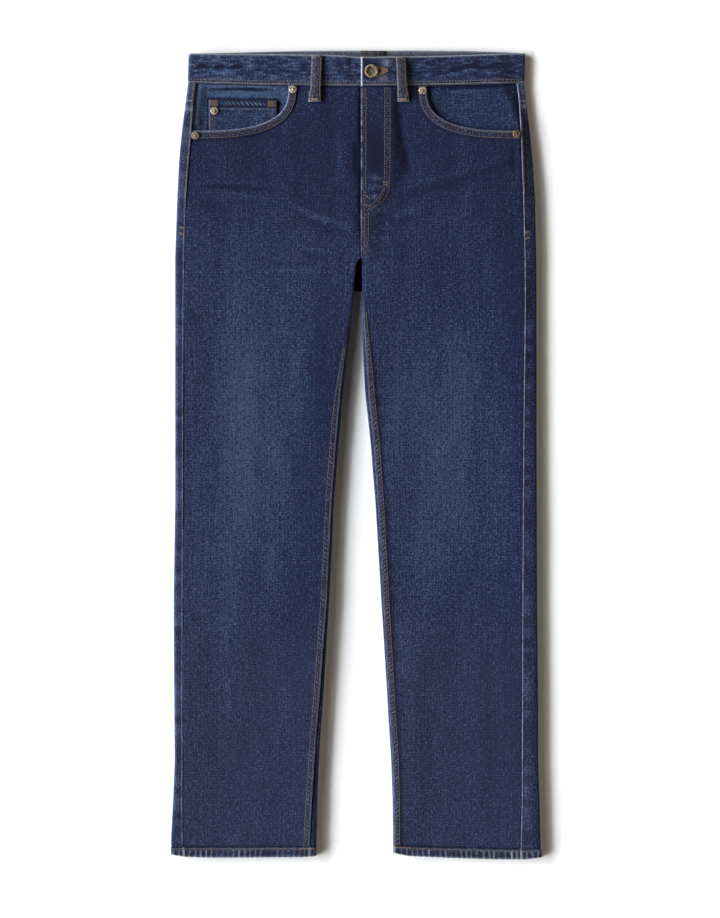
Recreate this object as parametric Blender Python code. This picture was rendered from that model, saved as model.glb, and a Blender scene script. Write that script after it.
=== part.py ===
"""Straight leg jeans, laid flat on their back with the front up.

+Y points to the waist, +X to the wearer's left and +Z up from the surface that they lie on.
Sizes are in millimetres and become metres when a mesh is made. "Down" is measured from the
waistband's upper edge at the sides towards the hems, and "out" from the centre line, which is
the fly's edge, towards either side.
"""

import math
from collections import namedtuple

import bmesh
import bpy
import numpy as np

METRES = 0.001

# The cloth
PLY = 1.0  # one thickness of denim
BAND_PLY = 2.0  # the waistband and the hems are doubled
LOOP_PLY = 1.2
LABEL_PLY = 0.4
GAP = 0.3  # between two pieces that are sewn together

# The waistband
WAIST_SEAM = 36.0  # down, at the sides
BAND_TOP = 6.5  # height of the front's upper face
FRONT_DIP = 3.75  # how much lower the front's edge lies at the centre than at the sides
BACK_RISE = 5.0  # how much higher the back's edge lies at the centre
DIP_ENDS = 100.0  # down, where the dip and the rise have run out
UNDERLAP = 36.0  # the right end runs this far under the left one
BAND_LIFT = 2.3  # how much the left end stands over it
LIFT_RAMP = 6.0

LABEL_OUT = (-0.8, 30.0)  # from the centre line towards the wearer's left
LABEL_DOWN = (1.2, 24.0)

# The fly and the crotch
FLY_LAP = 6.0  # the right front runs this far under the left one
LAP_LIFT = PLY + GAP
LAP_ENDS = 232.0  # down, where the right front starts to come out from under
LAP_OUT = 240.0
CROTCH_ABOVE = 254.0  # down, the last section of the body
CROTCH_BELOW = 260.0  # down, the first section of the legs

# The pockets
MOUTH_END = 96.0  # down, at the side seam
MOUTH_ROUNDNESS = 2.9  # the mouth is a quarter of a superellipse with this exponent
FACING_TOP = 5.1
FACING_ENDS = 122.0
FACING_UNDER_SEAM = 4.0
FACING_INNER = 72.0  # out
FACING_SINK = PLY + GAP  # room for the coin pocket over the right facing
COIN_OUT = (104.9, 190.1)
COIN_DOWN = (55.9, 120.0)
COIN_BAND = 8.0  # height of the coin pocket's hem
COIN_BAND_PLY = 1.6
YOKE_AT_SIDE = 61.0  # down
YOKE_AT_CENTRE = 95.0

# The hems
HEM_HEIGHT = 13.4
HEM_WARP_STARTS = 940.0  # down, where the cloth starts to follow the hem's curve

# Sag of the front between the side folds
SAG_STARTS = 14.0  # in from a fold
SAG_ENDS = 44.0

Section = namedtuple("Section", "down outer inner side_seam inseam")
Lay = namedtuple("Lay", "down bottom top sag")
Corner = namedtuple("Corner", "across rise")
FlyEdge = namedtuple("FlyEdge", "down reach lift")
Crease = namedtuple("Crease", "down near far depth width")
PocketRow = namedtuple("PocketRow", "below half_width")
LoopRow = namedtuple("LoopRow", "down bow")
FrontLoop = namedtuple("FrontLoop", "side top_out foot_out width")
Rivet = namedtuple("Rivet", "name side out down seat")
Side = namedtuple("Side", "name sign sections hem_low hem_tilt hem_corners mouth_top creases")

# Outer and inner are the folds, out from the centre line. The seams are measured in from the folds.
RIGHT_SECTIONS = (
    Section(0, 215.0, 0.0, 10.0, 0.0),
    Section(36, 216.2, 0.0, 10.0, 0.0),
    Section(55, 218.8, 0.0, 9.5, 0.0),
    Section(96, 224.0, 0.0, 12.0, 0.0),
    Section(132, 227.5, 0.0, 12.5, 0.0),
    Section(179, 229.8, 0.0, 11.0, 0.0),
    Section(254, 232.5, 0.0, 11.0, 0.0),
    Section(260, 232.5, 0.2, 11.2, 1.0),
    Section(282, 232.5, 7.0, 11.2, 1.8),
    Section(307, 232.5, 9.6, 10.6, 2.5),
    Section(357, 232.5, 17.5, 10.6, 3.0),
    Section(420, 232.5, 24.0, 10.2, 3.8),
    Section(557, 232.5, 33.8, 10.0, 3.4),
    Section(682, 234.4, 39.5, 11.5, 3.2),
    Section(807, 233.8, 47.0, 10.6, 5.0),
    Section(882, 233.0, 51.5, 10.0, 6.5),
    Section(932, 235.0, 53.8, 11.8, 7.5),
    Section(986, 236.9, 55.5, 14.0, 8.6),
    Section(1008, 236.2, 56.0, 14.8, 8.6),
)
LEFT_SECTIONS = (
    Section(0, 205.0, 0.0, 9.4, 0.0),
    Section(36, 203.8, 0.0, 9.4, 0.0),
    Section(55, 205.0, 0.0, 7.4, 0.0),
    Section(96, 210.0, 0.0, 10.0, 0.0),
    Section(132, 213.0, 0.0, 11.9, 0.0),
    Section(179, 216.0, 0.0, 13.0, 0.0),
    Section(254, 217.5, 0.0, 12.8, 0.0),
    Section(260, 217.5, 0.4, 12.8, 0.8),
    Section(307, 217.5, 1.4, 12.5, 1.0),
    Section(357, 217.5, 1.9, 13.0, 1.6),
    Section(420, 217.5, 5.0, 13.8, 2.6),
    Section(482, 217.5, 12.5, 14.4, 3.2),
    Section(557, 217.5, 18.8, 15.0, 3.0),
    Section(682, 217.5, 26.2, 15.6, 2.2),
    Section(807, 218.8, 33.8, 17.3, 1.8),
    Section(882, 218.8, 38.5, 17.6, 1.6),
    Section(932, 221.2, 40.0, 20.0, 1.4),
    Section(986, 223.0, 40.0, 23.0, 1.2),
    Section(1008, 225.0, 40.0, 25.0, 1.2),
)

# Heights of the two faces above the surface. The body is held up by the pockets and loops under it.
LAY = (
    Lay(0, 1.3, 6.4, 0.0),
    Lay(245, 1.3, 6.4, 0.0),
    Lay(330, 0.0, 5.6, 2.5),
    Lay(420, 0.0, 5.6, 3.0),
    Lay(945, 0.0, 5.6, 3.0),
    Lay(986, 0.0, 5.6, 1.2),
    Lay(1008, 0.0, 5.6, 1.2),
)

# The left front stands over the right one as far as the fly's curved topstitching.
FLY_EDGES = (
    FlyEdge(0, 36.0, 1.0),
    FlyEdge(160, 36.0, 1.0),
    FlyEdge(182, 20.0, 1.0),
    FlyEdge(196, 9.0, 1.0),
    FlyEdge(240, 9.0, 1.0),
    FlyEdge(254, 9.0, 0.0),
)

# How much a hem's lower edge curls up at its ends, from the outer fold (0) to the inner one (1).
RIGHT_HEM = (Corner(0.0, 4.0), Corner(0.1, 1.2), Corner(0.3, 0.0), Corner(0.9, 0.3), Corner(1.0, 1.6))
LEFT_HEM = (Corner(0.0, 3.0), Corner(0.1, 0.6), Corner(0.3, 0.0), Corner(0.9, 1.2), Corner(1.0, 4.0))

RIGHT_CREASES = (Crease(168, 150, 225, 0.8, 11), Crease(211, 20, 130, 0.7, 12))
LEFT_CREASES = (Crease(168, 140, 205, 0.7, 11), Crease(211, 90, 190, 0.6, 12))

BACK_POCKET = (
    PocketRow(0, 74.0),
    PocketRow(60, 71.0),
    PocketRow(118, 66.0),
    PocketRow(132, 34.0),
    PocketRow(144, 3.0),
)
BACK_POCKET_OUT = 106.0
BACK_POCKET_DOWN = 93.0

# Columns of the waistband, out from the centre line
BAND_LEFT_FRONT = (0, 12, 24, UNDERLAP, UNDERLAP + LIFT_RAMP, 60, 90, 120, 150, 180)
BAND_RIGHT_FRONT = (190, 160, 130, 100, 70, 40, 20, 0, -12, -24, -UNDERLAP)
BAND_BACK = (180, 150, 120, 90, 60, 30)

RIGHT = Side("right", -1, RIGHT_SECTIONS, 1005.0, 0.5, RIGHT_HEM, 90.5, RIGHT_CREASES)
LEFT = Side("left", 1, LEFT_SECTIONS, 1007.5, 4.5, LEFT_HEM, 82.0, LEFT_CREASES)

# The outline's middle, so that the origin lies under it
CENTRE_LINE = (max(row.outer for row in RIGHT_SECTIONS) - max(row.outer for row in LEFT_SECTIONS)) / 2
HALF_LENGTH = (max(RIGHT.hem_low, LEFT.hem_low) + BACK_RISE) / 2

# Metal
BUTTON_AT = (13.1, 21.8)  # out on the left, down
BUTTON_RADIUS = 8.5
BUTTON_HEIGHT = 3.2
SHANK_RADIUS = 2.4
EYELET_RADIUS = 3.2
SLOT_LENGTH = 13.0
SLOT_HALF_WIDTH = 0.8
RIVET_RADIUS = 5.0
RIVET_HEIGHT = 1.5
ROUND_STEPS = 20

PANEL_SEAT = LAY[0].top + GAP
COIN_SEAT = FACING_TOP - FACING_SINK + GAP + PLY + GAP
RIVETS = (
    Rivet("rivet_right_upper", RIGHT, 84.9, 44.3, PANEL_SEAT),
    Rivet("rivet_right_lower", RIGHT, 207.1, 102.1, PANEL_SEAT),
    Rivet("rivet_left_upper", LEFT, 77.1, 45.8, PANEL_SEAT),
    Rivet("rivet_left_lower", LEFT, 194.4, 99.8, PANEL_SEAT),
    Rivet("rivet_coin", RIGHT, 183.4, 70.8, COIN_SEAT),
)

# Belt loops: the bow is how far the loop stands off the band between its two ends.
FRONT_LOOPS = (FrontLoop(RIGHT, 55.1, 57.5, 12.4), FrontLoop(LEFT, 49.6, 52.6, 12.0))
LOOP_ROWS = (
    LoopRow(0.6, 0.0),
    LoopRow(4.0, 0.0),
    LoopRow(14.0, 0.6),
    LoopRow(26.0, 0.9),
    LoopRow(36.0, 0.8),
    LoopRow(46.0, 0.4),
    LoopRow(53.0, 0.0),
    LoopRow(57.5, 0.0),
)
BACK_LOOP_DOWNS = (0.8, 18.0, 36.0, 53.0)
BACK_LOOP_WIDTH = 12.4
SIDE_LOOP_OUT = 118.0

COLOURS = {
    "denim": (0.052, 0.079, 0.155, 0.9, 0.0),
    "denim_band": (0.058, 0.085, 0.160, 0.9, 0.0),
    "label": (0.060, 0.050, 0.040, 0.8, 0.0),
    "brass": (0.230, 0.180, 0.110, 0.4, 1.0),
}


def clear_scene():
    for thing in list(bpy.data.objects):
        bpy.data.objects.remove(thing, do_unlink=True)


def along(rows, key, column, at):
    """A table's column at the values `at` of its key column, straight between rows."""
    return np.interp(at, [getattr(row, key) for row in rows], [getattr(row, column) for row in rows])


def section(side, column, down):
    return along(side.sections, "down", column, down)


def lay(column, down):
    return along(LAY, "down", column, down)


def place(side, out, down, height, face):
    """Points of the frame. The waist's edge dips in front (face 1) and rises behind (face -1),
    and the cloth near a hem follows that hem's line, which rises towards the inner fold."""
    out, down, height = np.broadcast_arrays(*(np.asarray(v, float) for v in (out, down, height)))
    outer, inner = section(side, "outer", down), section(side, "inner", down)
    middle = np.clip(1 - (out / outer) ** 2, 0, 1)
    dip = np.where(face > 0, FRONT_DIP, -BACK_RISE) * middle
    dip = dip * np.interp(down, [WAIST_SEAM, DIP_ENDS], [1, 0])
    across = np.clip((outer - out) / (outer - inner), 0, 1)
    rise = side.hem_tilt * across**2
    rise = rise * np.interp(down, [HEM_WARP_STARTS, side.hem_low - HEM_HEIGHT], [0, 1])
    x = CENTRE_LINE + side.sign * out
    y = HALF_LENGTH - BACK_RISE - (down + dip - rise)
    return np.stack([x, y, height], axis=-1)


def sag(side, out, down):
    """How far the front lies below its folds: nothing near them, all of it between them."""
    outer, inner = section(side, "outer", down), section(side, "inner", down)
    depth = lay("sag", down)
    for inward in (outer - out, out - inner):
        step = np.clip((inward - SAG_STARTS) / (SAG_ENDS - SAG_STARTS), 0, 1)
        depth = depth * step * step * (3 - 2 * step)
    return depth


def creases(side, out, down):
    """Soft troughs across the front: a cosine hollow along a line, faded at its ends."""
    depth = np.zeros(np.broadcast(out, down).shape)
    for crease in side.creases:
        hollow = 0.5 + 0.5 * np.cos(math.pi * np.clip((down - crease.down) / crease.width, -1, 1))
        fades = [crease.near - 15, crease.near + 5, crease.far - 5, crease.far + 15]
        depth = depth + crease.depth * hollow * np.interp(out, fades, [0, 1, 1, 0])
    return depth


def fly_lift(side, out, down):
    """How far the left front stands over the right one."""
    if side is RIGHT:
        return 0.0
    reach = along(FLY_EDGES, "down", "reach", down)
    share = np.clip((reach + LIFT_RAMP - out) / LIFT_RAMP, 0, 1)
    return LAP_LIFT * share * along(FLY_EDGES, "down", "lift", down)


def front_points(side, out, down, depth):
    """The front's flat stretch: `depth` is 0 on its upper face and its thickness on the lower one."""
    height = lay("top", down) - sag(side, out, down) - creases(side, out, down) + fly_lift(side, out, down)
    return place(side, out, down, height - depth, 1)


def under_points(side, out, down, depth):
    return place(side, out, down, lay("bottom", down) + depth, -1)


def fold_reach(side, fold, down):
    """How far along the skin, from the fold's outermost line, the seam lies on the front."""
    radius = (lay("top", down) - lay("bottom", down)) / 2
    seam = section(side, "side_seam" if fold == "outer" else "inseam", down)
    round_part = radius * np.arccos(np.clip(1 - seam / radius, -1, 1))
    return np.where(seam < radius, round_part, radius * math.pi / 2 + seam - radius)


def fold_points(side, fold, down, run, depth):
    """Points round a side fold, a half circle between the two faces. `run` goes along the skin
    from the fold's outermost line: over the front where positive, under the back where negative."""
    radius = (lay("top", down) - lay("bottom", down)) / 2
    angle = np.clip(run / radius, -math.pi / 2, math.pi / 2)
    inward = radius - (radius - depth) * np.cos(angle) + np.maximum(np.abs(run) - radius * math.pi / 2, 0)
    edge = section(side, fold, down)
    out = edge - inward if fold == "outer" else edge + inward
    height = lay("bottom", down) + radius + (radius - depth) * np.sin(angle)
    height = height - np.where(run > 0, sag(side, out, down), 0)
    return place(side, out, down, height, np.where(run > 0, 1, -1))


def material(name):
    made = bpy.data.materials.get(name)
    if made:
        return made
    red, green, blue, roughness, metallic = COLOURS[name]
    made = bpy.data.materials.new(name)
    made.use_nodes = True
    shader = made.node_tree.nodes["Principled BSDF"]
    shader.inputs["Base Color"].default_value = (red, green, blue, 1)
    shader.inputs["Roughness"].default_value = roughness
    shader.inputs["Metallic"].default_value = metallic
    made.diffuse_color = (red, green, blue, 1)
    return made


def add_object(name, points, faces, finish):
    """A closed mesh: points that coincide become one, and faces that collapse are dropped."""
    mesh = bpy.data.meshes.new(name)
    shape = bmesh.new()
    corners = [shape.verts.new(point) for point in np.asarray(points) * METRES]
    for face in faces:
        shape.faces.new([corners[index] for index in face])
    bmesh.ops.remove_doubles(shape, verts=shape.verts, dist=1e-6)
    bmesh.ops.recalc_face_normals(shape, faces=shape.faces)
    shape.to_mesh(mesh)
    shape.free()
    thing = bpy.data.objects.new(name, mesh)
    mesh.materials.append(material(finish))
    bpy.context.scene.collection.objects.link(thing)
    return thing


def wall(name, outside, inside, finish, ring=False):
    """A closed wall between two skins that share one grid. A ring's last column meets its first."""
    rows, columns = outside.shape[:2]
    index = np.arange(rows * columns).reshape(rows, columns)
    if ring:
        index = np.concatenate([index, index[:, :1]], axis=1)
    skin = np.stack([index[:-1, :-1], index[:-1, 1:], index[1:, 1:], index[1:, :-1]], axis=-1)
    skin = skin.reshape(-1, 4)
    back = index + rows * columns
    rims = [(index[0], back[0]), (index[-1], back[-1])]
    if not ring:
        rims += [(index[:, 0], back[:, 0]), (index[:, -1], back[:, -1])]
    faces = [skin, (skin + rows * columns)[:, ::-1]]
    faces += [np.stack([a[:-1], a[1:], b[1:], b[:-1]], axis=-1) for a, b in rims]
    points = np.concatenate([outside.reshape(-1, 3), inside.reshape(-1, 3)])
    keys = np.unique(np.round(points, 4), axis=0, return_inverse=True)[1].reshape(-1)
    kept = []
    for face in np.concatenate(faces):
        distinct = [corner for spot, corner in enumerate(face) if keys[corner] != keys[face[spot - 1]]]
        if len(distinct) > 2 and len({keys[corner] for corner in distinct}) == len(distinct):
            kept.append(distinct)
    return add_object(name, points, kept, finish)


def both_skins(make, thickness):
    return make(0.0), make(thickness)


def leg_downs(side):
    """The sections of a leg, from the crotch to the hem's seam: one at each row of either table."""
    seam = side.hem_low - HEM_HEIGHT - GAP
    downs = {row.down for row in side.sections + LAY if CROTCH_BELOW <= row.down < seam}
    return sorted(downs) + [seam]


def mouth_row(side, share):
    """One point of the pocket's mouth, (out, down), from the waist seam (0) to the side seam (1)."""
    end = section(side, "outer", MOUTH_END) - section(side, "side_seam", MOUTH_END) - GAP
    turn = share * math.pi / 2
    width = end - side.mouth_top
    power = 2 / MOUTH_ROUNDNESS
    out = end - width * math.cos(turn) ** power
    down = WAIST_SEAM + GAP + (MOUTH_END - WAIST_SEAM - GAP) * math.sin(turn) ** power
    return out, down


def front_panel(side):
    """From the waist seam to the hem, between the side seam and the fly or the inseam."""
    shares = (0.0, 0.05, 0.2, 0.4, 0.6, 0.8, 0.93, 1.0)
    body = [mouth_row(side, share) for share in shares]
    for down in (132, 157, 168, 179, 199, 211, 223, LAP_ENDS, LAP_OUT, CROTCH_ABOVE):
        body.append((section(side, "outer", down) - section(side, "side_seam", down) - GAP, down))
    body_spread, leg_spread = ((1 - np.cos(np.linspace(0, math.pi, count))) / 2 for count in (9, 11))

    def body_row(start, down, depth):
        end = 0.0
        if side is RIGHT:
            end = np.interp(down, [LAP_ENDS, LAP_OUT], [-FLY_LAP, GAP])
        near = UNDERLAP + LIFT_RAMP
        out = np.concatenate([start + (near - start) * body_spread, [UNDERLAP, UNDERLAP / 2, 6.0, end]])
        return front_points(side, out, np.full(out.shape, down), depth)

    def leg_row(down, depth):
        start = section(side, "outer", down) - section(side, "side_seam", down) - GAP
        radius = (lay("top", down) - lay("bottom", down)) / 2
        edge = fold_reach(side, "inner", down) + GAP
        flat = max(edge, radius * math.pi / 2) + 1.0
        near = section(side, "inner", down) + radius + flat - radius * math.pi / 2
        out = start + (near - start) * leg_spread
        flat_part = front_points(side, out, np.full(out.shape, down), depth)
        run = np.array([(flat + edge) / 2, edge])
        return np.concatenate([flat_part, fold_points(side, "inner", np.full(2, down), run, depth)])

    def skin(depth):
        legs = [leg_row(down, depth) for down in leg_downs(side)]
        return np.stack([body_row(*row, depth) for row in body] + legs)

    return wall("front_panel_" + side.name, *both_skins(skin, PLY), "denim")


def outer_wrap(side, down, depth):
    """From the side seam on the front, round the outer fold, to the flat underside."""
    radius = (lay("top", down) - lay("bottom", down)) / 2
    quarter = radius * math.pi / 2
    seam = fold_reach(side, "outer", down)
    run = np.stack(
        [seam, (seam + quarter) / 2, quarter, quarter / 2, 0 * quarter, -quarter / 2, -quarter], axis=-1
    )
    return fold_points(side, "outer", np.repeat(down[:, None], 7, axis=1), run, depth)


def yoke_seam(side, out):
    """Down to the yoke's lower seam: a slant from the side to the centre back."""
    return np.interp(out, [0, section(side, "outer", YOKE_AT_SIDE)], [YOKE_AT_CENTRE, YOKE_AT_SIDE])


def under_outs(side, down, inner_end):
    """Five columns across the flat underside, between the outer fold and an inner end."""
    start = section(side, "outer", down) - (lay("top", down) - lay("bottom", down)) / 2
    share = np.arange(1, 6) / 6
    return start[:, None] + (inner_end - start)[:, None] * share


def yoke(side):
    shares = np.array([0.0, 0.5, 1.0])

    def skin(depth):
        rows = []
        for share in shares:
            at_side = WAIST_SEAM + GAP + (YOKE_AT_SIDE - GAP / 2 - WAIST_SEAM - GAP) * share
            wrap = outer_wrap(side, np.array([at_side]), depth)[0]
            out = np.append(under_outs(side, np.array([at_side]), np.array([GAP / 2]))[0], GAP / 2)
            lower = yoke_seam(side, out) - GAP / 2
            down = WAIST_SEAM + GAP + (lower - WAIST_SEAM - GAP) * share
            rows.append(np.concatenate([wrap, under_points(side, out, down, depth)]))
        return np.stack(rows)

    return wall("yoke_" + side.name, *both_skins(skin, PLY), "denim")


def back_panel(side):
    """From the yoke seam to the hem: round the outer fold, across the underside and, on the leg,
    round the inner fold to the inseam. Above the crotch it ends at the centre back."""
    body_downs = (YOKE_AT_SIDE + GAP / 2, MOUTH_END, 132, 179, CROTCH_ABOVE)

    def body_row(at_side, depth):
        share = (at_side - body_downs[0]) / (CROTCH_ABOVE - body_downs[0])
        wrap = outer_wrap(side, np.array([at_side]), depth)[0]
        out = np.append(under_outs(side, np.array([at_side]), np.array([GAP / 2]))[0], np.full(5, GAP / 2))
        upper = yoke_seam(side, out) + GAP / 2
        down = upper + (CROTCH_ABOVE - upper) * share
        return np.concatenate([wrap, under_points(side, out, down, depth)])

    def leg_row(down, depth):
        at = np.array([down])
        radius = (lay("top", at) - lay("bottom", at)) / 2
        quarter = (radius * math.pi / 2)[0]
        seam = fold_reach(side, "inner", at)[0]
        wrap = outer_wrap(side, at, depth)[0]
        out = under_outs(side, at, section(side, "inner", at) + radius)[0]
        under = under_points(side, out, np.full(5, down), depth)
        run = np.array([-quarter, -quarter / 2, 0, seam / 2, seam])
        return np.concatenate([wrap, under, fold_points(side, "inner", np.full(5, down), run, depth)])

    def skin(depth):
        legs = [leg_row(down, depth) for down in leg_downs(side)]
        return np.stack([body_row(down, depth) for down in body_downs] + legs)

    return wall("back_panel_" + side.name, *both_skins(skin, PLY), "denim")


def hem(side):
    """The turned-up hem: a closed ring round both folds, twice as thick as the leg."""
    downs = (side.hem_low - HEM_HEIGHT, side.hem_low - HEM_HEIGHT / 2, side.hem_low)

    def ring(down, depth):
        radius = float(lay("top", down) - lay("bottom", down)) / 2
        outer, inner = section(side, "outer", down), section(side, "inner", down)
        turn = np.linspace(math.pi / 2, -math.pi / 2, 7)
        spread = (outer - radius) + (inner - outer + 2 * radius) * np.arange(1, 10) / 10
        first = fold_points(side, "outer", np.full(7, down), turn * radius, depth)
        under = under_points(side, spread, np.full(9, down), depth)
        second = fold_points(side, "inner", np.full(7, down), -turn * radius, depth)
        over = front_points(side, spread[::-1], np.full(9, down), depth)
        points = np.concatenate([first, under, second, over])
        if down == side.hem_low:
            out = side.sign * (points[:, 0] - CENTRE_LINE)
            across = np.clip((outer - out) / (outer - inner), 0, 1)
            points[:, 1] += along(side.hem_corners, "across", "rise", across)
        return points

    def skin(depth):
        return np.stack([ring(down, depth) for down in downs])

    return wall("hem_" + side.name, *both_skins(skin, BAND_PLY), "denim_band", ring=True)


def waistband():
    """One strip: from its left end over the fly, round by the left fold and the back, to its right
    end, which runs on under the left one."""
    bottom = float(lay("bottom", 0))
    radius = (BAND_TOP - bottom) / 2

    def front(side, outs, depth):
        lifts = [BAND_LIFT if side is LEFT and out <= UNDERLAP else 0 for out in outs]
        return [(side, out, BAND_TOP + lift - depth, 1) for out, lift in zip(outs, lifts)]

    def fold(side, depth, over_first):
        edge = section(side, "outer", 0) - radius
        turns = np.linspace(math.pi / 2, -math.pi / 2, 7)
        if not over_first:
            turns = turns[::-1]
        reach = radius - depth
        middle = bottom + radius
        return [
            (side, edge + reach * math.cos(turn), middle + reach * math.sin(turn), 1 if turn > 0 else -1)
            for turn in turns
        ]

    def stations(depth):
        path = front(LEFT, BAND_LEFT_FRONT, depth) + fold(LEFT, depth, True)
        path += [(LEFT, out, bottom + depth, -1) for out in BAND_BACK]
        path += [(RIGHT, out, bottom + depth, -1) for out in (0, *BAND_BACK[::-1])]
        return path + fold(RIGHT, depth, False) + front(RIGHT, BAND_RIGHT_FRONT, depth)

    def skin(depth):
        return np.array([
            [place(side, out, down, height, face) for side, out, height, face in stations(depth)]
            for down in (0.0, WAIST_SEAM / 2, WAIST_SEAM)
        ])

    band = wall("waistband", *both_skins(skin, BAND_PLY), "denim_band")
    cut = band.modifiers.new("buttonhole", "BOOLEAN")
    cut.operation = "DIFFERENCE"
    cut.solver = "EXACT"
    cut.object = buttonhole_cutter()
    return band


def button_place():
    """The button's centre line, (x, y)."""
    out, down = BUTTON_AT
    return CENTRE_LINE + out, HALF_LENGTH - BACK_RISE - down


def buttonhole_cutter():
    """A keyhole: a round eyelet for the shank, and a slot running away from the band's end."""
    x, y = button_place()
    opening = math.asin(SLOT_HALF_WIDTH / EYELET_RADIUS)
    turns = np.linspace(opening, 2 * math.pi - opening, ROUND_STEPS)
    outline = [(x + EYELET_RADIUS * math.cos(turn), y + EYELET_RADIUS * math.sin(turn)) for turn in turns]
    outline += [(x + SLOT_LENGTH, y - SLOT_HALF_WIDTH), (x + SLOT_LENGTH, y + SLOT_HALF_WIDTH)]
    count = len(outline)
    low, high = BAND_TOP + GAP / 2, BAND_TOP + BAND_LIFT + BAND_PLY
    points = [(px, py, low) for px, py in outline] + [(px, py, high) for px, py in outline]
    faces = [list(range(count))[::-1], list(range(count, 2 * count))]
    faces += [[i, (i + 1) % count, count + (i + 1) % count, count + i] for i in range(count)]
    cutter = add_object("buttonhole_cutter", points, faces, "brass")
    cutter.hide_render = True
    cutter.display_type = "WIRE"
    return cutter


def pocket_facing(side):
    """The cloth inside the pocket's mouth. The right one sinks under the coin pocket."""
    downs = np.array([WAIST_SEAM + GAP, 50.0, 75.0, 98.0, FACING_ENDS])
    shares = np.array([0.0, 0.06, 0.13, 0.4, 0.7, 1.0])
    seam = section(side, "outer", downs) - section(side, "side_seam", downs) + FACING_UNDER_SEAM
    out = seam[:, None] + (FACING_INNER - seam)[:, None] * shares
    sink = 0.0
    if side is RIGHT:
        sink = FACING_SINK * np.outer(np.array([0, 1, 1, 1, 1]), np.array([0, 0.4, 1, 1, 1, 1]))
    down = np.repeat(downs[:, None], len(shares), axis=1)

    def skin(depth):
        return place(side, out, down, FACING_TOP - sink - depth, 1)

    return wall("pocket_facing_" + side.name, *both_skins(skin, PLY), "denim")


def coin_pocket():
    """A small pocket on the right facing, with a thicker hem along its mouth."""
    floor = FACING_TOP - FACING_SINK + GAP
    step = COIN_DOWN[0] + COIN_BAND
    downs = np.array([COIN_DOWN[0], step, step + 1.0, 85.0, COIN_DOWN[1]])
    thick = np.array([COIN_BAND_PLY, COIN_BAND_PLY, PLY, PLY, PLY])
    outs = np.linspace(*COIN_OUT, 5)
    down = np.repeat(downs[:, None], len(outs), axis=1)
    out = np.repeat(outs[None, :], len(downs), axis=0)
    upper = place(RIGHT, out, down, floor + thick[:, None], 1)
    lower = place(RIGHT, out, down, floor, 1)
    return wall("coin_pocket", upper, lower, "denim")


def back_pocket(side):
    """A plain patch pocket with a pointed end. The garment rests on it."""
    shares = np.linspace(-1, 1, 5)
    out = np.array([BACK_POCKET_OUT + row.half_width * shares for row in BACK_POCKET])
    down = np.array([np.full(5, BACK_POCKET_DOWN + row.below) for row in BACK_POCKET])

    def skin(depth):
        return place(side, out, down, depth, -1)

    return wall("back_pocket_" + side.name, *both_skins(skin, PLY), "denim")


def front_belt_loop(loop):
    """A strip over the waistband, just off it at both ends and bowed out between them."""
    downs, bow = np.array(LOOP_ROWS).T
    middle = np.interp(downs, [downs[0], downs[-1]], [loop.top_out, loop.foot_out])
    out = middle[:, None] + np.array([-0.5, 0, 0.5]) * loop.width
    down = np.repeat(downs[:, None], 3, axis=1)
    floor = BAND_TOP + GAP + bow[:, None]

    def skin(depth):
        return place(loop.side, out, down, floor + LOOP_PLY - depth, 1)

    return wall("belt_loop_front_" + loop.side.name, *both_skins(skin, LOOP_PLY), "denim_band")


def back_belt_loop(name, side, at):
    """A strip under the back of the waistband, flat on the surface."""
    downs = np.array(BACK_LOOP_DOWNS)
    out = at + np.array([-0.5, 0, 0.5]) * BACK_LOOP_WIDTH + 0 * downs[:, None]
    down = np.repeat(downs[:, None], 3, axis=1)

    def skin(depth):
        return place(side, out, down, depth, -1)

    return wall(name, *both_skins(skin, PLY), "denim_band")


def inner_label():
    """A blank patch inside the back of the waistband."""
    out = np.linspace(*LABEL_OUT, 5) + np.zeros((2, 1))
    down = np.array(LABEL_DOWN)[:, None] + 0 * out
    floor = float(lay("bottom", 0)) + BAND_PLY + GAP

    def skin(depth):
        return place(LEFT, out, down, floor + LABEL_PLY - depth, -1)

    return wall("inner_label", *both_skins(skin, LABEL_PLY), "label")


def turned(name, x, y, profile):
    """A solid of revolution about an upright line. The profile runs from its top down, each point
    (radius, height), and starts and ends on the line."""
    turns = np.arange(ROUND_STEPS) * 2 * math.pi / ROUND_STEPS
    rings = profile[1:-1]
    points = [(x + r * math.cos(turn), y + r * math.sin(turn), z) for r, z in rings for turn in turns]
    top, end = len(points), len(points) + 1
    points += [(x, y, profile[0][1]), (x, y, profile[-1][1])]
    last = (len(rings) - 1) * ROUND_STEPS
    faces = []
    for i in range(ROUND_STEPS):
        after = (i + 1) % ROUND_STEPS
        faces.append([top, i, after])
        for ring in range(len(rings) - 1):
            start = ring * ROUND_STEPS
            faces.append([start + i, start + ROUND_STEPS + i, start + ROUND_STEPS + after, start + after])
        faces.append([end, last + after, last + i])
    thing = add_object(name, points, faces, "brass")
    thing.data.shade_smooth()
    thing.data.set_sharp_from_angle(angle=math.radians(35))
    return thing


def waist_button():
    """A domed head with a rolled rim, on a shank that goes through the eyelet to the band under it."""
    seat = BAND_TOP + BAND_LIFT + GAP
    top = seat + BUTTON_HEIGHT
    profile = [
        (0, top - 0.7),
        (BUTTON_RADIUS - 3.2, top - 0.9),
        (BUTTON_RADIUS - 2.2, top - 0.2),
        (BUTTON_RADIUS - 1.2, top),
        (BUTTON_RADIUS - 0.2, top - 0.8),
        (BUTTON_RADIUS, top - 1.8),
        (BUTTON_RADIUS - 1.2, seat + 0.3),
        (SHANK_RADIUS + 1.2, seat),
        (SHANK_RADIUS, seat - 0.2),
        (SHANK_RADIUS, BAND_TOP + GAP),
        (0, BAND_TOP + GAP),
    ]
    return turned("waist_button", *button_place(), profile)


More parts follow.
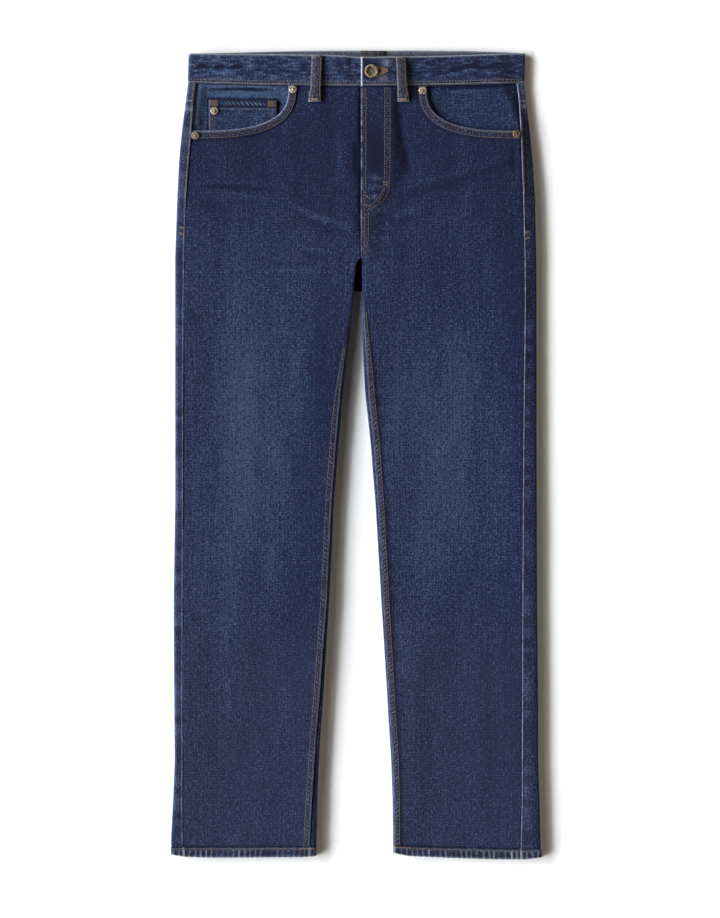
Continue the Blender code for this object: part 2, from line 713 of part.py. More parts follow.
def rivet(cap):
    """A rivet's cap: a flat rim and a raised nipple in the middle."""
    x = CENTRE_LINE + cap.side.sign * cap.out
    y = HALF_LENGTH - BACK_RISE - cap.down
    seat = cap.seat
    profile = [
        (0, seat + RIVET_HEIGHT),
        (1.2, seat + RIVET_HEIGHT - 0.1),
        (1.9, seat + 0.7),
        (3.2, seat + 0.8),
        (4.4, seat + 0.8),
        (RIVET_RADIUS, seat + 0.3),
        (RIVET_RADIUS - 0.3, seat),
        (0, seat),
    ]
    return turned(cap.name, x, y, profile)


def build():
    clear_scene()
    for side in (RIGHT, LEFT):
        front_panel(side)
        yoke(side)
        back_panel(side)
        hem(side)
        pocket_facing(side)
        back_pocket(side)
        back_belt_loop("belt_loop_side_" + side.name, side, SIDE_LOOP_OUT)
    waistband()
    coin_pocket()
    back_belt_loop("belt_loop_back", LEFT, 0.0)
    inner_label()
    waist_button()
    for loop in FRONT_LOOPS:
        front_belt_loop(loop)
    for cap in RIVETS:
        rivet(cap)


build()
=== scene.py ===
"""Straight leg jeans laid flat on their back: cloth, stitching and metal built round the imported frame.

Lengths are in millimetres until a mesh is made. A place on the garment is given by its side, by
"down", which runs from the waistband's upper edge towards the hems, and by "out", which runs from
the centre line towards that side. "Girth" goes round the cloth instead: from the outer fold's
outermost line over the front where positive, and under the back where negative.
"""

import math
from collections import namedtuple
from functools import partial

import bmesh
import bpy
import numpy as np
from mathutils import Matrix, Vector


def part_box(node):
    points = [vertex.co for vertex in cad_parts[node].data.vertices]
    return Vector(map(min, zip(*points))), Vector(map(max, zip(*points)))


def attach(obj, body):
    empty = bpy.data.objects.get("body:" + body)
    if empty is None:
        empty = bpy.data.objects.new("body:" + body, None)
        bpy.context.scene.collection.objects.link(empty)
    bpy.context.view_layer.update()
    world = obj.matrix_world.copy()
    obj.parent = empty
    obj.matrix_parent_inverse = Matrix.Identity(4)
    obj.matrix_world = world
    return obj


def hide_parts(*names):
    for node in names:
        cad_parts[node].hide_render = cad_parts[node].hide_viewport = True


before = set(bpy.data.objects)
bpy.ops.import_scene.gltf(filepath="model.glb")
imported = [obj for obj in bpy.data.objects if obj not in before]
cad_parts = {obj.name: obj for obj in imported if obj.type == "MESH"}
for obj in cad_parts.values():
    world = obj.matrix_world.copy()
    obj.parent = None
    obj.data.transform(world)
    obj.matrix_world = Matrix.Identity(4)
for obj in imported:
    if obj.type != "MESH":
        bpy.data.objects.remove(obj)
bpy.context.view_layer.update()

MM = 0.001
PI = math.pi

# The cloth, thickness of each kind of piece
PLY = 1.0
BAND_PLY = HEM_PLY = 1.8
LOOP_PLY = 1.0
UNDER_PLY = 0.9  # a pocket or loop on the underside
LABEL_PLY = 0.4
GAP = 0.3
SUNK = 0.62  # how deep a row lies in the underside, so that its thread stays off the surface below

# The waistband
WAIST_SEAM = 36.0
BAND_RISE = 0.3  # how much the band's face stands over the fronts
BAND_ROW, BAND_DOTS = 1.7, 4.7  # above the band's lower edge: its row, and the dots of its inner row
FRONT_DIP = 3.75
BACK_RISE = 5.0
DIP_ENDS = 100.0
UNDERLAP = 36.0
BAND_LIFT = 1.4
BAND_LIFT_ENDS = 66.0
UNDERLAP_SINKS = 0.9  # how much the right end is pressed down where the left one covers it
# How far the edge stands above its even bow: each side's out and rise, in front and behind
WAIST_EDGE = {
    "right": (((0, 0), (12, 0.5), (24, 1.8), (45, 2.7), (125, 2.4), (190, 1.4), (215, 1.1)),
              ((150, 0), (185, 0.5), (205, 1.0), (215, 1.1))),
    "left": (((20, 0), (60, 0.4), (110, 0.6), (150, 1.1), (180, 1.6), (210, 1.8)),
             ((30, 0), (60, 0.5), (90, 0.9), (130, 1.6), (210, 1.8))),
}
LABEL_OUT, LABEL_DOWN = (-0.8, 30.0), (-0.6, 24.0)

# The button and its hole, out and below the waist's level line
BUTTON_AT = (13.1, 21.8)
BUTTON_HEAD = 4.0  # how far the head's top stands over its seat
EYELET, SLOT_HALF, SLOT_MOUTH, SLOT_END = 3.2, 0.7, 0.9, 13.0  # radius, half widths, length
CUT_FROM, CUT_TO = 6.55, 14.0  # heights between which the hole is cut
TAIL_TIP = (34.8, 20.8)  # the tapered end of the buttonhole's stitching

# How far the left side's edge is pressed down, by "down"
END_SINKS = (
    (0, 3.2), (60, 3.0), (100, 2.4), (132, 2.0), (180, 1.5), (307, 1.5), (430, 1.2), (600, 0.4), (1008, 0.3),
)

# The fly and the crotch
FLY_LAP = 6.0
LAP_LIFT = 1.3
LAP_FADES = 18.0  # the lap's thickness runs out over this width beyond its curved rows
LAP_ENDS, LAP_OUT = 232.0, 240.0
CROTCH = 254.0
CROTCH_OPENS = 14.0  # over this length below the crotch the inner folds form
GUSSET_ENDS = 297.0  # down, how far the back's seam allowance shows between the legs

# The side seams and inseams
SIDE_ROWS_END = 176.0  # down, where the side seams' topstitching ends
INSEAM_ROWS = (1.9, 7.2)
INSEAM_STARTS = {"right": 338.0, "left": 292.0}  # down, where each felled edge comes out of its fold
SIDE_TACKS = {"right": (217.0, 224.6), "left": (222.6, 230.2)}  # down

# The pockets
MOUTH_END = 96.0
MOUTH_ROUNDNESS = 2.9
MOUTH_BAND = 10.0
FACING_TOP = 5.1
FACING_ENDS = 122.0
FACING_INNER = 72.0
FACING_SINK = 1.3
COIN_OUT, COIN_DOWN = (104.9, 190.1), (55.9, 120.0)
COIN_BAND = 9.0
COIN_LINES = (COIN_OUT[0] + 1.6, COIN_OUT[0] + 11.4, COIN_OUT[1] - 5.0, COIN_OUT[1] - 2.0)  # out
COIN_ROWS = (1.6, 7.6)  # below the coin pocket's edge
YOKE_AT_SIDE, YOKE_AT_CENTRE = 61.0, 95.0
YOKE_ROWS = {"right": (58.2, 68.4), "left": (58.6, 65.2)}  # down, where the yoke seam crosses the strips
SEAT_ROWS = (2.2, 7.6)  # in from the yoke seam and from the centre-back seam
BACK_POCKET_OUT, BACK_POCKET_DOWN = 106.0, 93.0
BACK_POCKET = ((0, 74.0), (60, 71.0), (118, 66.0), (132, 34.0), (144, 3.0))  # below, half width
POCKET_ROWS, POCKET_HEM = (2.4, 8.4), 14.0  # in from the back pocket's edges, and below its top

# The belt loops
LOOP_HALF = 6.1
LOOP_ROWS = (-4.8, 4.6)
FRONT_LOOPS = {"right": (55.1, 57.5), "left": (49.6, 52.6)}  # out, at the top and at the foot
LOOP_TOP, LOOP_FOOT = 0.6, 57.5
LOOP_SEAT, LOOP_FOOT_SEAT = 7.1, 6.75  # undersides, on the band and on the front below it
SIDE_LOOP_OUT = 118.0
BACK_LOOP = (0.8, 53.0)  # down, its ends

# The hems
HEM_HEIGHT = 13.4
HEM_ROW = 1.9  # below the hem's upper edge
HEM_WARP_STARTS = 940.0

# Steps of the grids, from an edge inwards
BLOCK_SPLIT = 200.0  # down, where the front's two patches meet
SAG_STARTS, SAG_ENDS = 12.0, 62.0  # from its folds, where the front sinks
SEAM_STEPS = np.array([0, 0.5, 1.0, 1.6, 2.3, 3.2, 4.2, 5.4, 6.6, 7.8, 9.2])
MOUTH_STEPS = np.array([0, 0.5, 1.0, 1.5, 2.2, 3.0, 4.0, 5.0, 6.0, 7.0, 8.0, 9.0, 9.8, 10.8, 12.2])
HEM_STEPS = np.concatenate([
    [0, 0.4, 0.9, 1.5, 2.1, 2.8], np.linspace(3.6, 11.4, 7), [12.2, 12.8, 13.2, 13.4],
])
BAND_STEPS = np.concatenate([
    [0, 0.4, 0.9, 1.5, 2.3, 3.2], np.linspace(4.6, 28.5, 15), [29.8, 31, 32, 33, 34, 34.8, 35.4, 35.8, 36.0],
])
COIN_STEPS = np.array([0, 0.4, 0.9, 1.6, 2.4, 3.4, 4.6, 5.8, 6.8, 7.6, 8.4, 9.0, 9.6, 10.4, 11.4])
POCKET_EDGE_STEPS = np.array([0, 0.008, 0.02, 0.035, 0.055, 0.08, 0.105, 0.13])  # of the half width

# The fill window in steps of height: directions, degrees above the surface, softness, energy
FILL_STEPS = (
    ((0,), 26, 20, 0.10),
    ((-30, 30), 10, 8, 0.47),
    ((-35, 35), 5.5, 4, 1.25),
    ((-35, 35), 3.2, 3, 1.9),
)

CLOTH = "_cloth"  # ends the name of each piece that stands for a CAD node
UP, DOWNWARDS = (0.0, 0.0, 1.0), (0.0, 0.0, -1.0)
NOISE_HEIGHTS, NOISE_CELLS = 997, 60  # how many random values a line and a side of a square have

Section = namedtuple("Section", "down outer inner side_seam inseam")
Lay = namedtuple("Lay", "down bottom top sag")
Fly = namedtuple("Fly", "down reach lift")
Side = namedtuple("Side", "name sign sections hem_low hem_tilt hem_corners mouth_top")
Crease = namedtuple("Crease", "x down to_x to_down bow width lift shade")
Fade = namedtuple("Fade", "x down half_width half_length shade")
Rivet = namedtuple("Rivet", "name side out down")
Row = namedtuple("Row", "points ways")


def table(kind, *rows):
    """The rows, each as a record of one kind."""
    return tuple(kind(*row) for row in rows)


RIGHT_SECTIONS = table(
    Section,
    (0, 215.0, 0.0, 10.0, 0.0),
    (36, 216.2, 0.0, 10.0, 0.0),
    (55, 218.8, 0.0, 9.5, 0.0),
    (96, 224.0, 0.0, 12.0, 0.0),
    (132, 227.5, 0.0, 12.5, 0.0),
    (179, 229.8, 0.0, 11.0, 0.0),
    (254, 232.5, 0.0, 11.0, 0.0),
    (260, 232.5, 4.0, 11.2, 1.0),
    (282, 232.5, 7.0, 11.2, 1.8),
    (307, 232.5, 9.0, 10.6, 2.5),
    (357, 232.5, 14.6, 10.6, 3.0),
    (420, 232.5, 21.6, 10.2, 3.8),
    (482, 232.5, 27.2, 10.1, 3.6),
    (557, 232.5, 33.2, 10.0, 3.4),
    (682, 234.4, 39.5, 11.5, 3.2),
    (807, 233.8, 47.0, 10.6, 5.0),
    (882, 233.0, 51.5, 10.0, 6.5),
    (932, 235.0, 53.8, 11.8, 7.5),
    (986, 238.0, 55.5, 15.1, 8.6),
    (1008, 237.4, 56.0, 16.0, 8.6),
)
LEFT_SECTIONS = table(
    Section,
    (0, 205.0, 0.0, 9.4, 0.0),
    (36, 203.8, 0.0, 9.4, 0.0),
    (55, 206.2, 0.0, 8.6, 0.0),
    (96, 211.2, 0.0, 11.2, 0.0),
    (132, 214.6, 0.0, 13.5, 0.0),
    (179, 217.8, 0.0, 14.8, 0.0),
    (254, 219.5, 0.0, 14.8, 0.0),
    (260, 219.5, 0.4, 14.8, 0.8),
    (307, 219.6, 1.4, 14.6, 1.2),
    (357, 219.7, 1.9, 15.2, 3.2),
    (420, 219.7, 4.2, 16.0, 4.6),
    (482, 219.7, 11.2, 16.6, 4.0),
    (557, 220.0, 17.6, 17.5, 3.2),
    (682, 220.3, 25.1, 18.4, 2.6),
    (807, 221.6, 32.7, 20.1, 2.2),
    (882, 221.6, 37.5, 20.4, 2.0),
    (932, 223.4, 39.3, 22.2, 1.6),
    (986, 224.6, 40.0, 24.6, 1.2),
    (1008, 226.4, 40.0, 26.4, 1.2),
)
LAY = table(
    Lay,
    (0, 1.3, 6.4, 0.0),
    (245, 1.3, 6.4, 0.0),
    (330, 0.0, 6.3, 1.7),
    (430, 0.0, 6.2, 1.9),
    (520, 0.0, 5.9, 1.6),
    (640, 0.0, 5.6, 1.5),
    (945, 0.0, 5.6, 1.5),
    (986, 0.0, 5.6, 0.9),
    (1008, 0.0, 5.6, 0.9),
)
FLY = table(
    Fly,
    (0, 36.0, 1.0),
    (160, 36.0, 1.0),
    (182, 20.0, 1.0),
    (196, 9.0, 1.0),
    (240, 9.0, 1.0),
    (254, 9.0, 0.0),
)
# How far a hem's lower edge curls up, from the outer fold (0) to the inner one (1)
RIGHT_HEM = ((0.0, 4.0), (0.1, 1.2), (0.3, 0.0), (0.9, 0.3), (1.0, 1.6))
LEFT_HEM = ((0.0, 3.0), (0.1, 0.6), (0.3, 0.0), (0.9, 1.2), (1.0, 4.0))
RIGHT = Side("right", -1, RIGHT_SECTIONS, 1005.0, 0.5, RIGHT_HEM, 90.5)
LEFT = Side("left", 1, LEFT_SECTIONS, 1007.5, 4.5, LEFT_HEM, 82.0)
SIDES = (RIGHT, LEFT)

RIVETS = table(
    Rivet,
    ("rivet_right_upper", RIGHT, 84.9, 44.3),
    ("rivet_right_lower", RIGHT, 207.1, 102.1),
    ("rivet_left_upper", LEFT, 77.1, 45.8),
    ("rivet_left_lower", LEFT, 194.4, 99.8),
    ("rivet_coin", RIGHT, 183.4, 70.8),
)
COIN_RIVET = RIVETS[-1]

# The frame gives the centre line and the waist's place.
loop_low, loop_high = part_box("belt_loop_back")
CENTRE_X = (loop_low.x + loop_high.x) / 2 / MM
WAIST_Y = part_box("waistband")[1].y / MM - BACK_RISE

# Creases and fades, x from the centre line, positive towards the wearer's left. A crease's shade is
# painted shade in its trough and painted light on its ridge; a fade's is mostly the indigo's fading,
# but some dark fades along the folds are painted shade
FRONT_CREASES = table(
    Crease,
    (-207, 164, -100, 172, 1.0, 2.6, -0.9, -0.60),
    (-205, 157, -110, 164, 1.0, 4.0, 0.5, 0.28),
    (-190, 176, -95, 181, 1.0, 5.0, 0.5, 0.25),
    (-205, 186, -165, 197, 2.0, 7.0, -0.4, -0.35),
    (-185, 208, -120, 213, 2.0, 4.0, -0.3, -0.20),
    (-99, 181, -5, 219, -4.0, 3.4, 0.6, 0.50),
    (-94, 191, -8, 227, -4.0, 4.2, -0.6, -0.35),
    (-80, 205, -6, 213, 3.0, 2.4, 0.35, 0.35),
    (-89, 236, -30, 247, -2.0, 3.0, 0.3, 0.30),
    (-85, 244, -28, 256, -2.0, 3.4, -0.35, -0.25),
    (-6.5, 104, -5, 155, 0.0, 3.4, -0.45, -0.90),
    (-46, 56, -36, 114, 2.0, 11.0, -0.35, -0.40),
    (-29, 88, -22, 168, 1.0, 9.0, 0.4, 0.35),
    (-150, 109, -92, 99, 3.0, 6.0, -0.4, -0.50),
    (-132, 270, -39, 272, 1.5, 2.2, 0.3, 0.32),
    (-120, 262, -45, 263, 1.0, 3.0, -0.3, -0.18),
    (-60, 285, -22, 300, -2.0, 4.0, -0.3, -0.20),
    (45, 40, 59, 152, -2.0, 6.0, -0.8, -0.38),
    (56, 112, 60, 154, 0.0, 4.5, -0.5, -0.45),
    (48, 171, 132, 148, 3.0, 3.4, 0.6, 0.45),
    (44, 181, 142, 159, 3.0, 4.2, -0.6, -0.40),
    (38, 206, 88, 190, 1.0, 3.2, 0.4, 0.35),
    (34, 215, 98, 198, 1.0, 4.0, -0.4, -0.30),
    (190, 110, 192, 152, 0.0, 5.0, -0.6, -0.70),
    (100, 161, 202, 134, -2.0, 4.5, -0.5, -0.30),
    (104, 152, 196, 125, -2.0, 5.0, 0.4, 0.22),
    (8, 230, 43, 232, 1.0, 2.2, 0.3, 0.35),
    (8, 267, 31, 268, 1.0, 2.2, 0.3, 0.32),
    (12, 250, 62, 259, 2.0, 3.2, -0.35, -0.28),
    (70, 222, 150, 196, 2.0, 3.6, 0.25, 0.15),
    (-172, 640, -166, 900, 2.0, 9.0, 0.25, 0.14),
    (-128, 560, -120, 880, -3.0, 12.0, -0.25, -0.14),
    (-96, 480, -92, 760, 2.0, 9.0, 0.20, 0.10),
    (72, 500, 80, 800, 2.0, 10.0, 0.20, 0.12),
    (118, 620, 124, 920, -2.0, 12.0, -0.25, -0.14),
    (166, 560, 172, 860, 2.0, 9.0, 0.25, 0.12),
    (-215, 702, -182, 706, 1.0, 3.5, -0.35, -0.20),
    (168, 520, 200, 512, 1.0, 4.0, -0.35, -0.20),
)
FRONT_FADES = table(
    Fade,
    (0, 125, 300, 80, -0.60),
    (-151, 432, 40, 135, 0.62),
    (-150, 610, 46, 110, 0.35),
    (-202, 320, 14, 100, 0.14),
    (-205, 670, 17, 130, 0.32),
    (-48, 410, 16, 140, -0.50),
    (-90, 385, 18, 90, 0.26),
    (-78, 715, 24, 110, -0.38),
    (-26, 420, 9, 130, -0.50),
    (-64, 620, 12, 150, -0.30),
    (105, 440, 44, 130, 0.34),
    (105, 610, 50, 120, 0.24),
    (186, 262, 27, 85, -0.50),
    (196, 430, 14, 140, -0.40),
    (42, 430, 14, 100, 0.50),
    (58, 720, 16, 200, 0.28),
    (112, 290, 30, 70, -0.42),
    (182, 820, 34, 160, -0.48),
    (60, 268, 26, 60, -0.26),
    (18, 104, 10, 20, -0.80),
    (18, 128, 10, 17, -1.25),
    (17, 143, 9, 5, -0.55),
    (18, 154, 8, 4.5, 1.00),
    (22, 161, 5, 2.2, -0.70),
    (17, 167, 9, 4.5, 1.15),
    (21, 171.5, 6, 2.2, -0.90),
    (16.5, 178, 4.5, 3.5, 1.60),
    (20, 195, 9, 5, 0.85),
    (30, 203, 6, 6, -0.40),
    (-150, 880, 90, 120, -0.10),
    (120, 880, 90, 120, -0.10),
)
BACK_CREASES = table(
    Crease,
    (-40, 262, -150, 300, -6.0, 4.0, -0.5, -0.30),
    (-35, 282, -128, 332, -6.0, 5.0, -0.5, -0.30),
    (42, 258, 155, 292, 6.0, 4.0, -0.5, -0.30),
    (36, 284, 120, 326, 6.0, 5.0, -0.5, -0.30),
    (-170, 240, -190, 330, 3.0, 5.0, -0.4, -0.25),
    (168, 246, 186, 318, -3.0, 5.0, -0.4, -0.25),
    (-60, 480, -190, 500, 5.0, 6.0, -0.5, -0.25),
    (-80, 520, -180, 512, 4.0, 5.0, -0.4, -0.22),
    (40, 492, 170, 478, -5.0, 6.0, -0.5, -0.25),
    (60, 540, 190, 552, 4.0, 5.0, -0.4, -0.22),
    (-90, 700, -86, 930, 3.0, 10.0, -0.3, -0.15),
    (-170, 640, -176, 880, 3.0, 9.0, -0.3, -0.15),
    (80, 680, 92, 900, 3.0, 10.0, -0.3, -0.15),
    (160, 720, 156, 940, 3.0, 9.0, -0.3, -0.15),
)
BACK_FADES = table(
    Fade,
    (-105, 215, 70, 50, 0.40),
    (105, 215, 70, 50, 0.40),
    (-135, 430, 45, 130, 0.45),
    (110, 430, 45, 130, 0.45),
    (0, 130, 300, 70, -0.35),
    (-190, 520, 22, 260, -0.30),
    (180, 520, 22, 260, -0.30),
)
BAND_CREASES = table(
    Crease,
    (-207, 16.5, -190, 17.0, 0.5, 2.2, -0.7, -2.60),
    (-184, 17.0, -170, 17.5, 0.5, 2.2, -0.7, -2.60),
    (-164, 17.5, -146, 18.0, 0.5, 2.2, -0.6, -2.20),
    (-208, 22.0, -150, 24.0, 0.5, 3.0, 0.3, 0.22),
    (-140, 12.0, -92, 15.0, 1.0, 3.0, -0.3, -0.25),
    (108, 22.5, 150, 14.0, 1.0, 2.2, -0.7, -2.20),
    (140, 17.0, 186, 13.5, -0.8, 2.4, -0.5, -0.90),
    (112, 27.0, 152, 19.0, 1.0, 2.4, 0.4, 0.30),
    (-26, 3.0, -24, 30.0, 0.5, 3.2, -0.5, -0.40),
    (-14, 4.0, -13, 31.0, 0.0, 2.6, -0.5, -0.45),
    (30, 6.0, 36, 16.0, 1.0, 3.0, 0.4, 0.35),
    (60, 8.0, 96, 11.0, 1.0, 4.0, -0.3, -0.22),
)
FACING_CREASES = table(
    Crease,
    (-200, 40.0, -96, 40.5, 0.5, 2.0, 0.5, 0.90),
    (-198, 43.8, -104, 45.2, 1.0, 2.0, -0.6, -2.20),
    (-182, 49.0, -112, 48.0, -1.5, 3.0, 0.4, 0.25),
    (-203, 60.0, -199, 92.0, 1.0, 5.0, -0.5, -0.50),
    (88, 42.0, 190, 40.5, 0.5, 1.8, -0.5, -1.30),
    (96, 50.0, 186, 45.0, 2.5, 2.0, 0.3, 0.30),
    (96, 45.0, 186, 42.0, 1.5, 3.0, -0.3, -0.20),
    (92, 58.0, 100, 84.0, -4.0, 4.0, -0.4, -0.30),
    (184, 52.0, 188, 88.0, 1.0, 4.0, 0.3, 0.20),
)

# Numbers that every surface gives beside its place: how far it is lifted off its smooth form, how
# much darker or paler it is painted (partly the indigo's own fading, partly painted shade in creases,
# grooves, seams and gaps and painted light on ridges and on a flank that faces the key light), how much
# colour its edges and ridges have lost by wear, and how much the sewing has roughened it to tan and
# dark grit
LIFT, SHADE, WORN, SEWN = range(4)


def paint(red, green, blue):
    """A colour in linear light from its eight-bit sRGB values."""
    values = np.array([red, green, blue]) / 255
    linear = np.where(values <= 0.04045, values / 12.92, ((values + 0.055) / 1.055) ** 2.4)
    return (*linear.tolist(), 1.0)


def rise(value, start, end):
    """0 before start, 1 after end, and a smooth step between."""
    share = np.clip((np.asarray(value, float) - start) / (end - start), 0, 1)
    return share * share * (3 - 2 * share)


def hill(distance, width):
    """A bell, 1 in its middle and about a third at `width` from it."""
    return np.exp(-((np.asarray(distance, float) / width) ** 2))


def wander(at, spacing, seed):
    """Smooth random values from -1 to 1 along a line: one height every `spacing`, joined by steps."""
    heights = np.random.default_rng(seed).uniform(-1, 1, NOISE_HEIGHTS)
    place_on = np.asarray(at, float) / spacing + 300
    low = np.floor(place_on).astype(int)
    share = place_on - low
    share = share * share * (3 - 2 * share)
    return heights[low % NOISE_HEIGHTS] * (1 - share) + heights[(low + 1) % NOISE_HEIGHTS] * share


def unevenness(x, down, wide, long, seed):
    """Smooth random values from -1 to 1 over the cloth, with bumps `wide` across and `long` down."""
    heights = np.random.default_rng(seed).uniform(-1, 1, (NOISE_CELLS + 1, NOISE_CELLS + 1))
    across, below = np.asarray(x) / wide + 30, np.asarray(down) / long + 7
    column, row = np.floor(across).astype(int), np.floor(below).astype(int)
    share_x, share_y = across - column, below - row
    share_x, share_y = (s * s * (3 - 2 * s) for s in (share_x, share_y))
    column, row = column % NOISE_CELLS, row % NOISE_CELLS
    upper = heights[row, column] * (1 - share_x) + heights[row, column + 1] * share_x
    lower = heights[row + 1, column] * (1 - share_x) + heights[row + 1, column + 1] * share_x
    return upper * (1 - share_y) + lower * share_y


def puckers(at, period, seed, wobble=1.6):
    """Uneven waves from -1 to 1: a sine whose phase and height wander."""
    phase = 2 * PI * np.asarray(at) / period + wobble * wander(at, 2.3 * period, seed)
    return np.sin(phase) * (0.72 + 0.28 * wander(at, 1.7 * period, seed + 1))


def curve(points, step=1.0):
    """A smooth line through the points, by cubics whose slopes come from each point's neighbours."""
    spots = np.asarray(points, float)
    spots = np.concatenate([[2 * spots[0] - spots[1]], spots, [2 * spots[-1] - spots[-2]]])
    pieces = []
    for a, b, c, d in zip(spots, spots[1:], spots[2:], spots[3:]):
        count = max(2, round(float(np.linalg.norm(c - b)) / step))
        t = np.linspace(0, 1, count, endpoint=False)[:, None]
        cubic = (2 * a - 5 * b + 4 * c - d) * t**2 + (3 * b - a - 3 * c + d) * t**3
        pieces.append((2 * b + (c - a) * t + cubic) / 2)
    return np.concatenate([*pieces, spots[-2:-1]])


def lengths_along(path):
    """How far along the line each of its points is."""
    return np.concatenate([[0], np.cumsum(np.linalg.norm(np.diff(path, axis=0), axis=1))])


def sampled(values, lengths, at):
    """The line's values at the distances `at` along it."""
    return np.stack([np.interp(at, lengths, column) for column in values.T], axis=-1)


def even_steps(path, count):
    """The line again, as `count` points at equal distances."""
    lengths = lengths_along(path)
    return sampled(path, lengths, np.linspace(0, lengths[-1], count))


def beside(path, offset):
    """The line moved sideways by `offset`, to the left of its own direction."""
    way = np.gradient(path, axis=0)
    way /= np.linalg.norm(way, axis=1, keepdims=True)
    return path + offset * np.stack([-way[:, 1], way[:, 0]], axis=1)


def nearest(path, out, down, reach=16.0):
    """Distance from each place to the line, and how far along it. Places beyond `reach` of its box
    are given a distance of `reach`."""
    low, high = path.min(0) - reach, path.max(0) + reach
    near = (out > low[0]) & (out < high[0]) & (down > low[1]) & (down < high[1])
    distance, along_it = np.full(out.shape, reach), np.zeros(out.shape)
    if not near.any():
        return distance, along_it
    spots = np.stack([out[near], down[near]], axis=-1)
    steps = np.diff(path, axis=0)
    lengths, starts = np.linalg.norm(steps, axis=1), lengths_along(path)
    best, best_along = np.full(len(spots), np.inf), np.zeros(len(spots))
    for start, step, length, so_far in zip(path, steps, lengths, starts):
        share = np.clip(((spots - start) @ step) / length**2, 0, 1)
        gap = np.hypot(*(spots - start - share[:, None] * step).T)
        closer = gap < best
        best[closer] = gap[closer]
        best_along[closer] = (so_far + share * length)[closer]
    distance[near], along_it[near] = np.minimum(best, reach), best_along
    return distance, along_it


def marked(lift=0.0, shade=0.0, worn=0.0, sewn=0.0):
    """The four kinds of mark as one array."""
    return np.stack(np.broadcast_arrays(*(np.asarray(v, float) for v in (lift, shade, worn, sewn))))


def crease_marks(creases, x, down):
    """Soft troughs and ridges: each is a bell across a bowed line, tapering at both its ends. Its shade
    is painted shade in a trough and painted light on a ridge.
    """
    marks = marked(np.zeros_like(x))
    for crease in creases:
        run_x, run_down = crease.to_x - crease.x, crease.to_down - crease.down
        length = math.hypot(run_x, run_down)
        share = ((x - crease.x) * run_x + (down - crease.down) * run_down) / length**2
        off = ((x - crease.x) * run_down - (down - crease.down) * run_x) / length
        off = off - crease.bow * 4 * share * (1 - share)
        width = crease.width * (1 + 0.35 * wander(share * length, 14, int(abs(crease.x) * 7)))
        bell = hill(off, width) * rise(share, -0.04, 0.3) * rise(1 - share, -0.04, 0.3)
        marks += marked(bell * crease.lift, bell * crease.shade)
    return marks


def fade_marks(fades, x, down):
    """Broad paler and darker places: each is a bell in both directions. Most are the indigo's fading;
    some dark ones along the folds are painted shade.
    """
    shade = np.zeros_like(x)
    for fade in fades:
        across, below = (x - fade.x) / fade.half_width, (down - fade.down) / fade.half_length
        shade = shade + fade.shade * np.exp(-(across**2 + below**2))
    return marked(shade=shade)


def along(rows, column, down):
    """A table's column between its rows, its corners rounded by averaging, except at the crotch."""
    down = np.asarray(down, float)
    keys, values = [row.down for row in rows], [getattr(row, column) for row in rows]
    ease = 9.0 * np.clip(np.abs(down - CROTCH - 3) / 25 - 0.3, 0, 1)
    return sum(np.interp(down + share * ease, keys, values) for share in (-1, -0.5, 0, 0.5, 1)) / 5


def section(side, column, down):
    """A measure of the side's outline or seams at each "down"."""
    return along(side.sections, column, down)


def seam_out(side, down):
    """How far out the side seam runs."""
    return section(side, "outer", down) - section(side, "side_seam", down)


def lay(column, down):
    return along(LAY, column, down)


def waist_bow(side, out, down):
    """How much of the waist's dip or rise a place takes part in: all at the centre, none at the
    sides, and less and less below the waistband."""
    middle = np.clip(1 - (out / section(side, "outer", down)) ** 2, 0, 1)
    return middle * np.interp(down, [WAIST_SEAM, DIP_ENDS], [1, 0])


def dipped(side, out, down):
    """How far a place on the front lies below the waist's level line."""
    return down + FRONT_DIP * waist_bow(side, out, down)


def undipped(side, out, below):
    """The "down" of a place on the front that lies `below` the waist's level line."""
    down = np.asarray(below, float)
    for _ in range(4):
        down = below - FRONT_DIP * waist_bow(side, out, down)
    return down


def place(side, out, down, height, face):
    """Points of the frame, in millimetres. The waist's edge dips in front (face 1) and rises behind
    (face -1), and near a hem the cloth follows its line, which rises towards the inner fold."""
    out, down, height = np.broadcast_arrays(*(np.asarray(v, float) for v in (out, down, height)))
    outer, inner = section(side, "outer", down), section(side, "inner", down)
    dip = np.where(np.asarray(face) > 0, FRONT_DIP, -BACK_RISE) * waist_bow(side, out, down)
    front_edge, back_edge = (np.interp(out, *np.transpose(rows)) for rows in WAIST_EDGE[side.name])
    dip = dip - np.where(np.asarray(face) > 0, front_edge, back_edge) * np.clip(1 - down / WAIST_SEAM, 0, 1)
    across = np.clip((outer - out) / (outer - inner), 0, 1)
    tilt = side.hem_tilt * across**2
    tilt = tilt * np.interp(down, [HEM_WARP_STARTS, side.hem_low - HEM_HEIGHT], [0, 1])
    return np.stack([CENTRE_X + side.sign * out, WAIST_Y - (down + dip - tilt), height], axis=-1)


def fold_radius(down):
    return (lay("top", down) - lay("bottom", down)) / 2


def crotch_radius(down):
    """Radius of the inner fold's half circle, which grows from nothing below the crotch."""
    return fold_radius(down) * rise(down, CROTCH, CROTCH + CROTCH_OPENS)


def girth_at(side, out, down):
    """The girth of a place on the front's flat stretch."""
    radius = fold_radius(down)
    return section(side, "outer", down) - radius - out + radius * PI / 2


def full_girth(side, down):
    """The girth of the inner fold's outermost line, or above the crotch of the centre line."""
    first, second = fold_radius(down), crotch_radius(down)
    width = section(side, "outer", down) - section(side, "inner", down)
    return width + (first + second) * (PI / 2 - 1)


def side_girth(side, down):
    radius = fold_radius(down)
    return section(side, "side_seam", down) + radius * (PI / 2 - 1)


def inseam_girth(side, down):
    radius, reach = crotch_radius(down), section(side, "inseam", down)
    turned = radius * np.arccos(np.clip(1 - reach / np.maximum(radius, 0.01), -1, 1))
    run = np.where(reach < radius, turned, radius * PI / 2 + reach - radius)
    return full_girth(side, down) - run


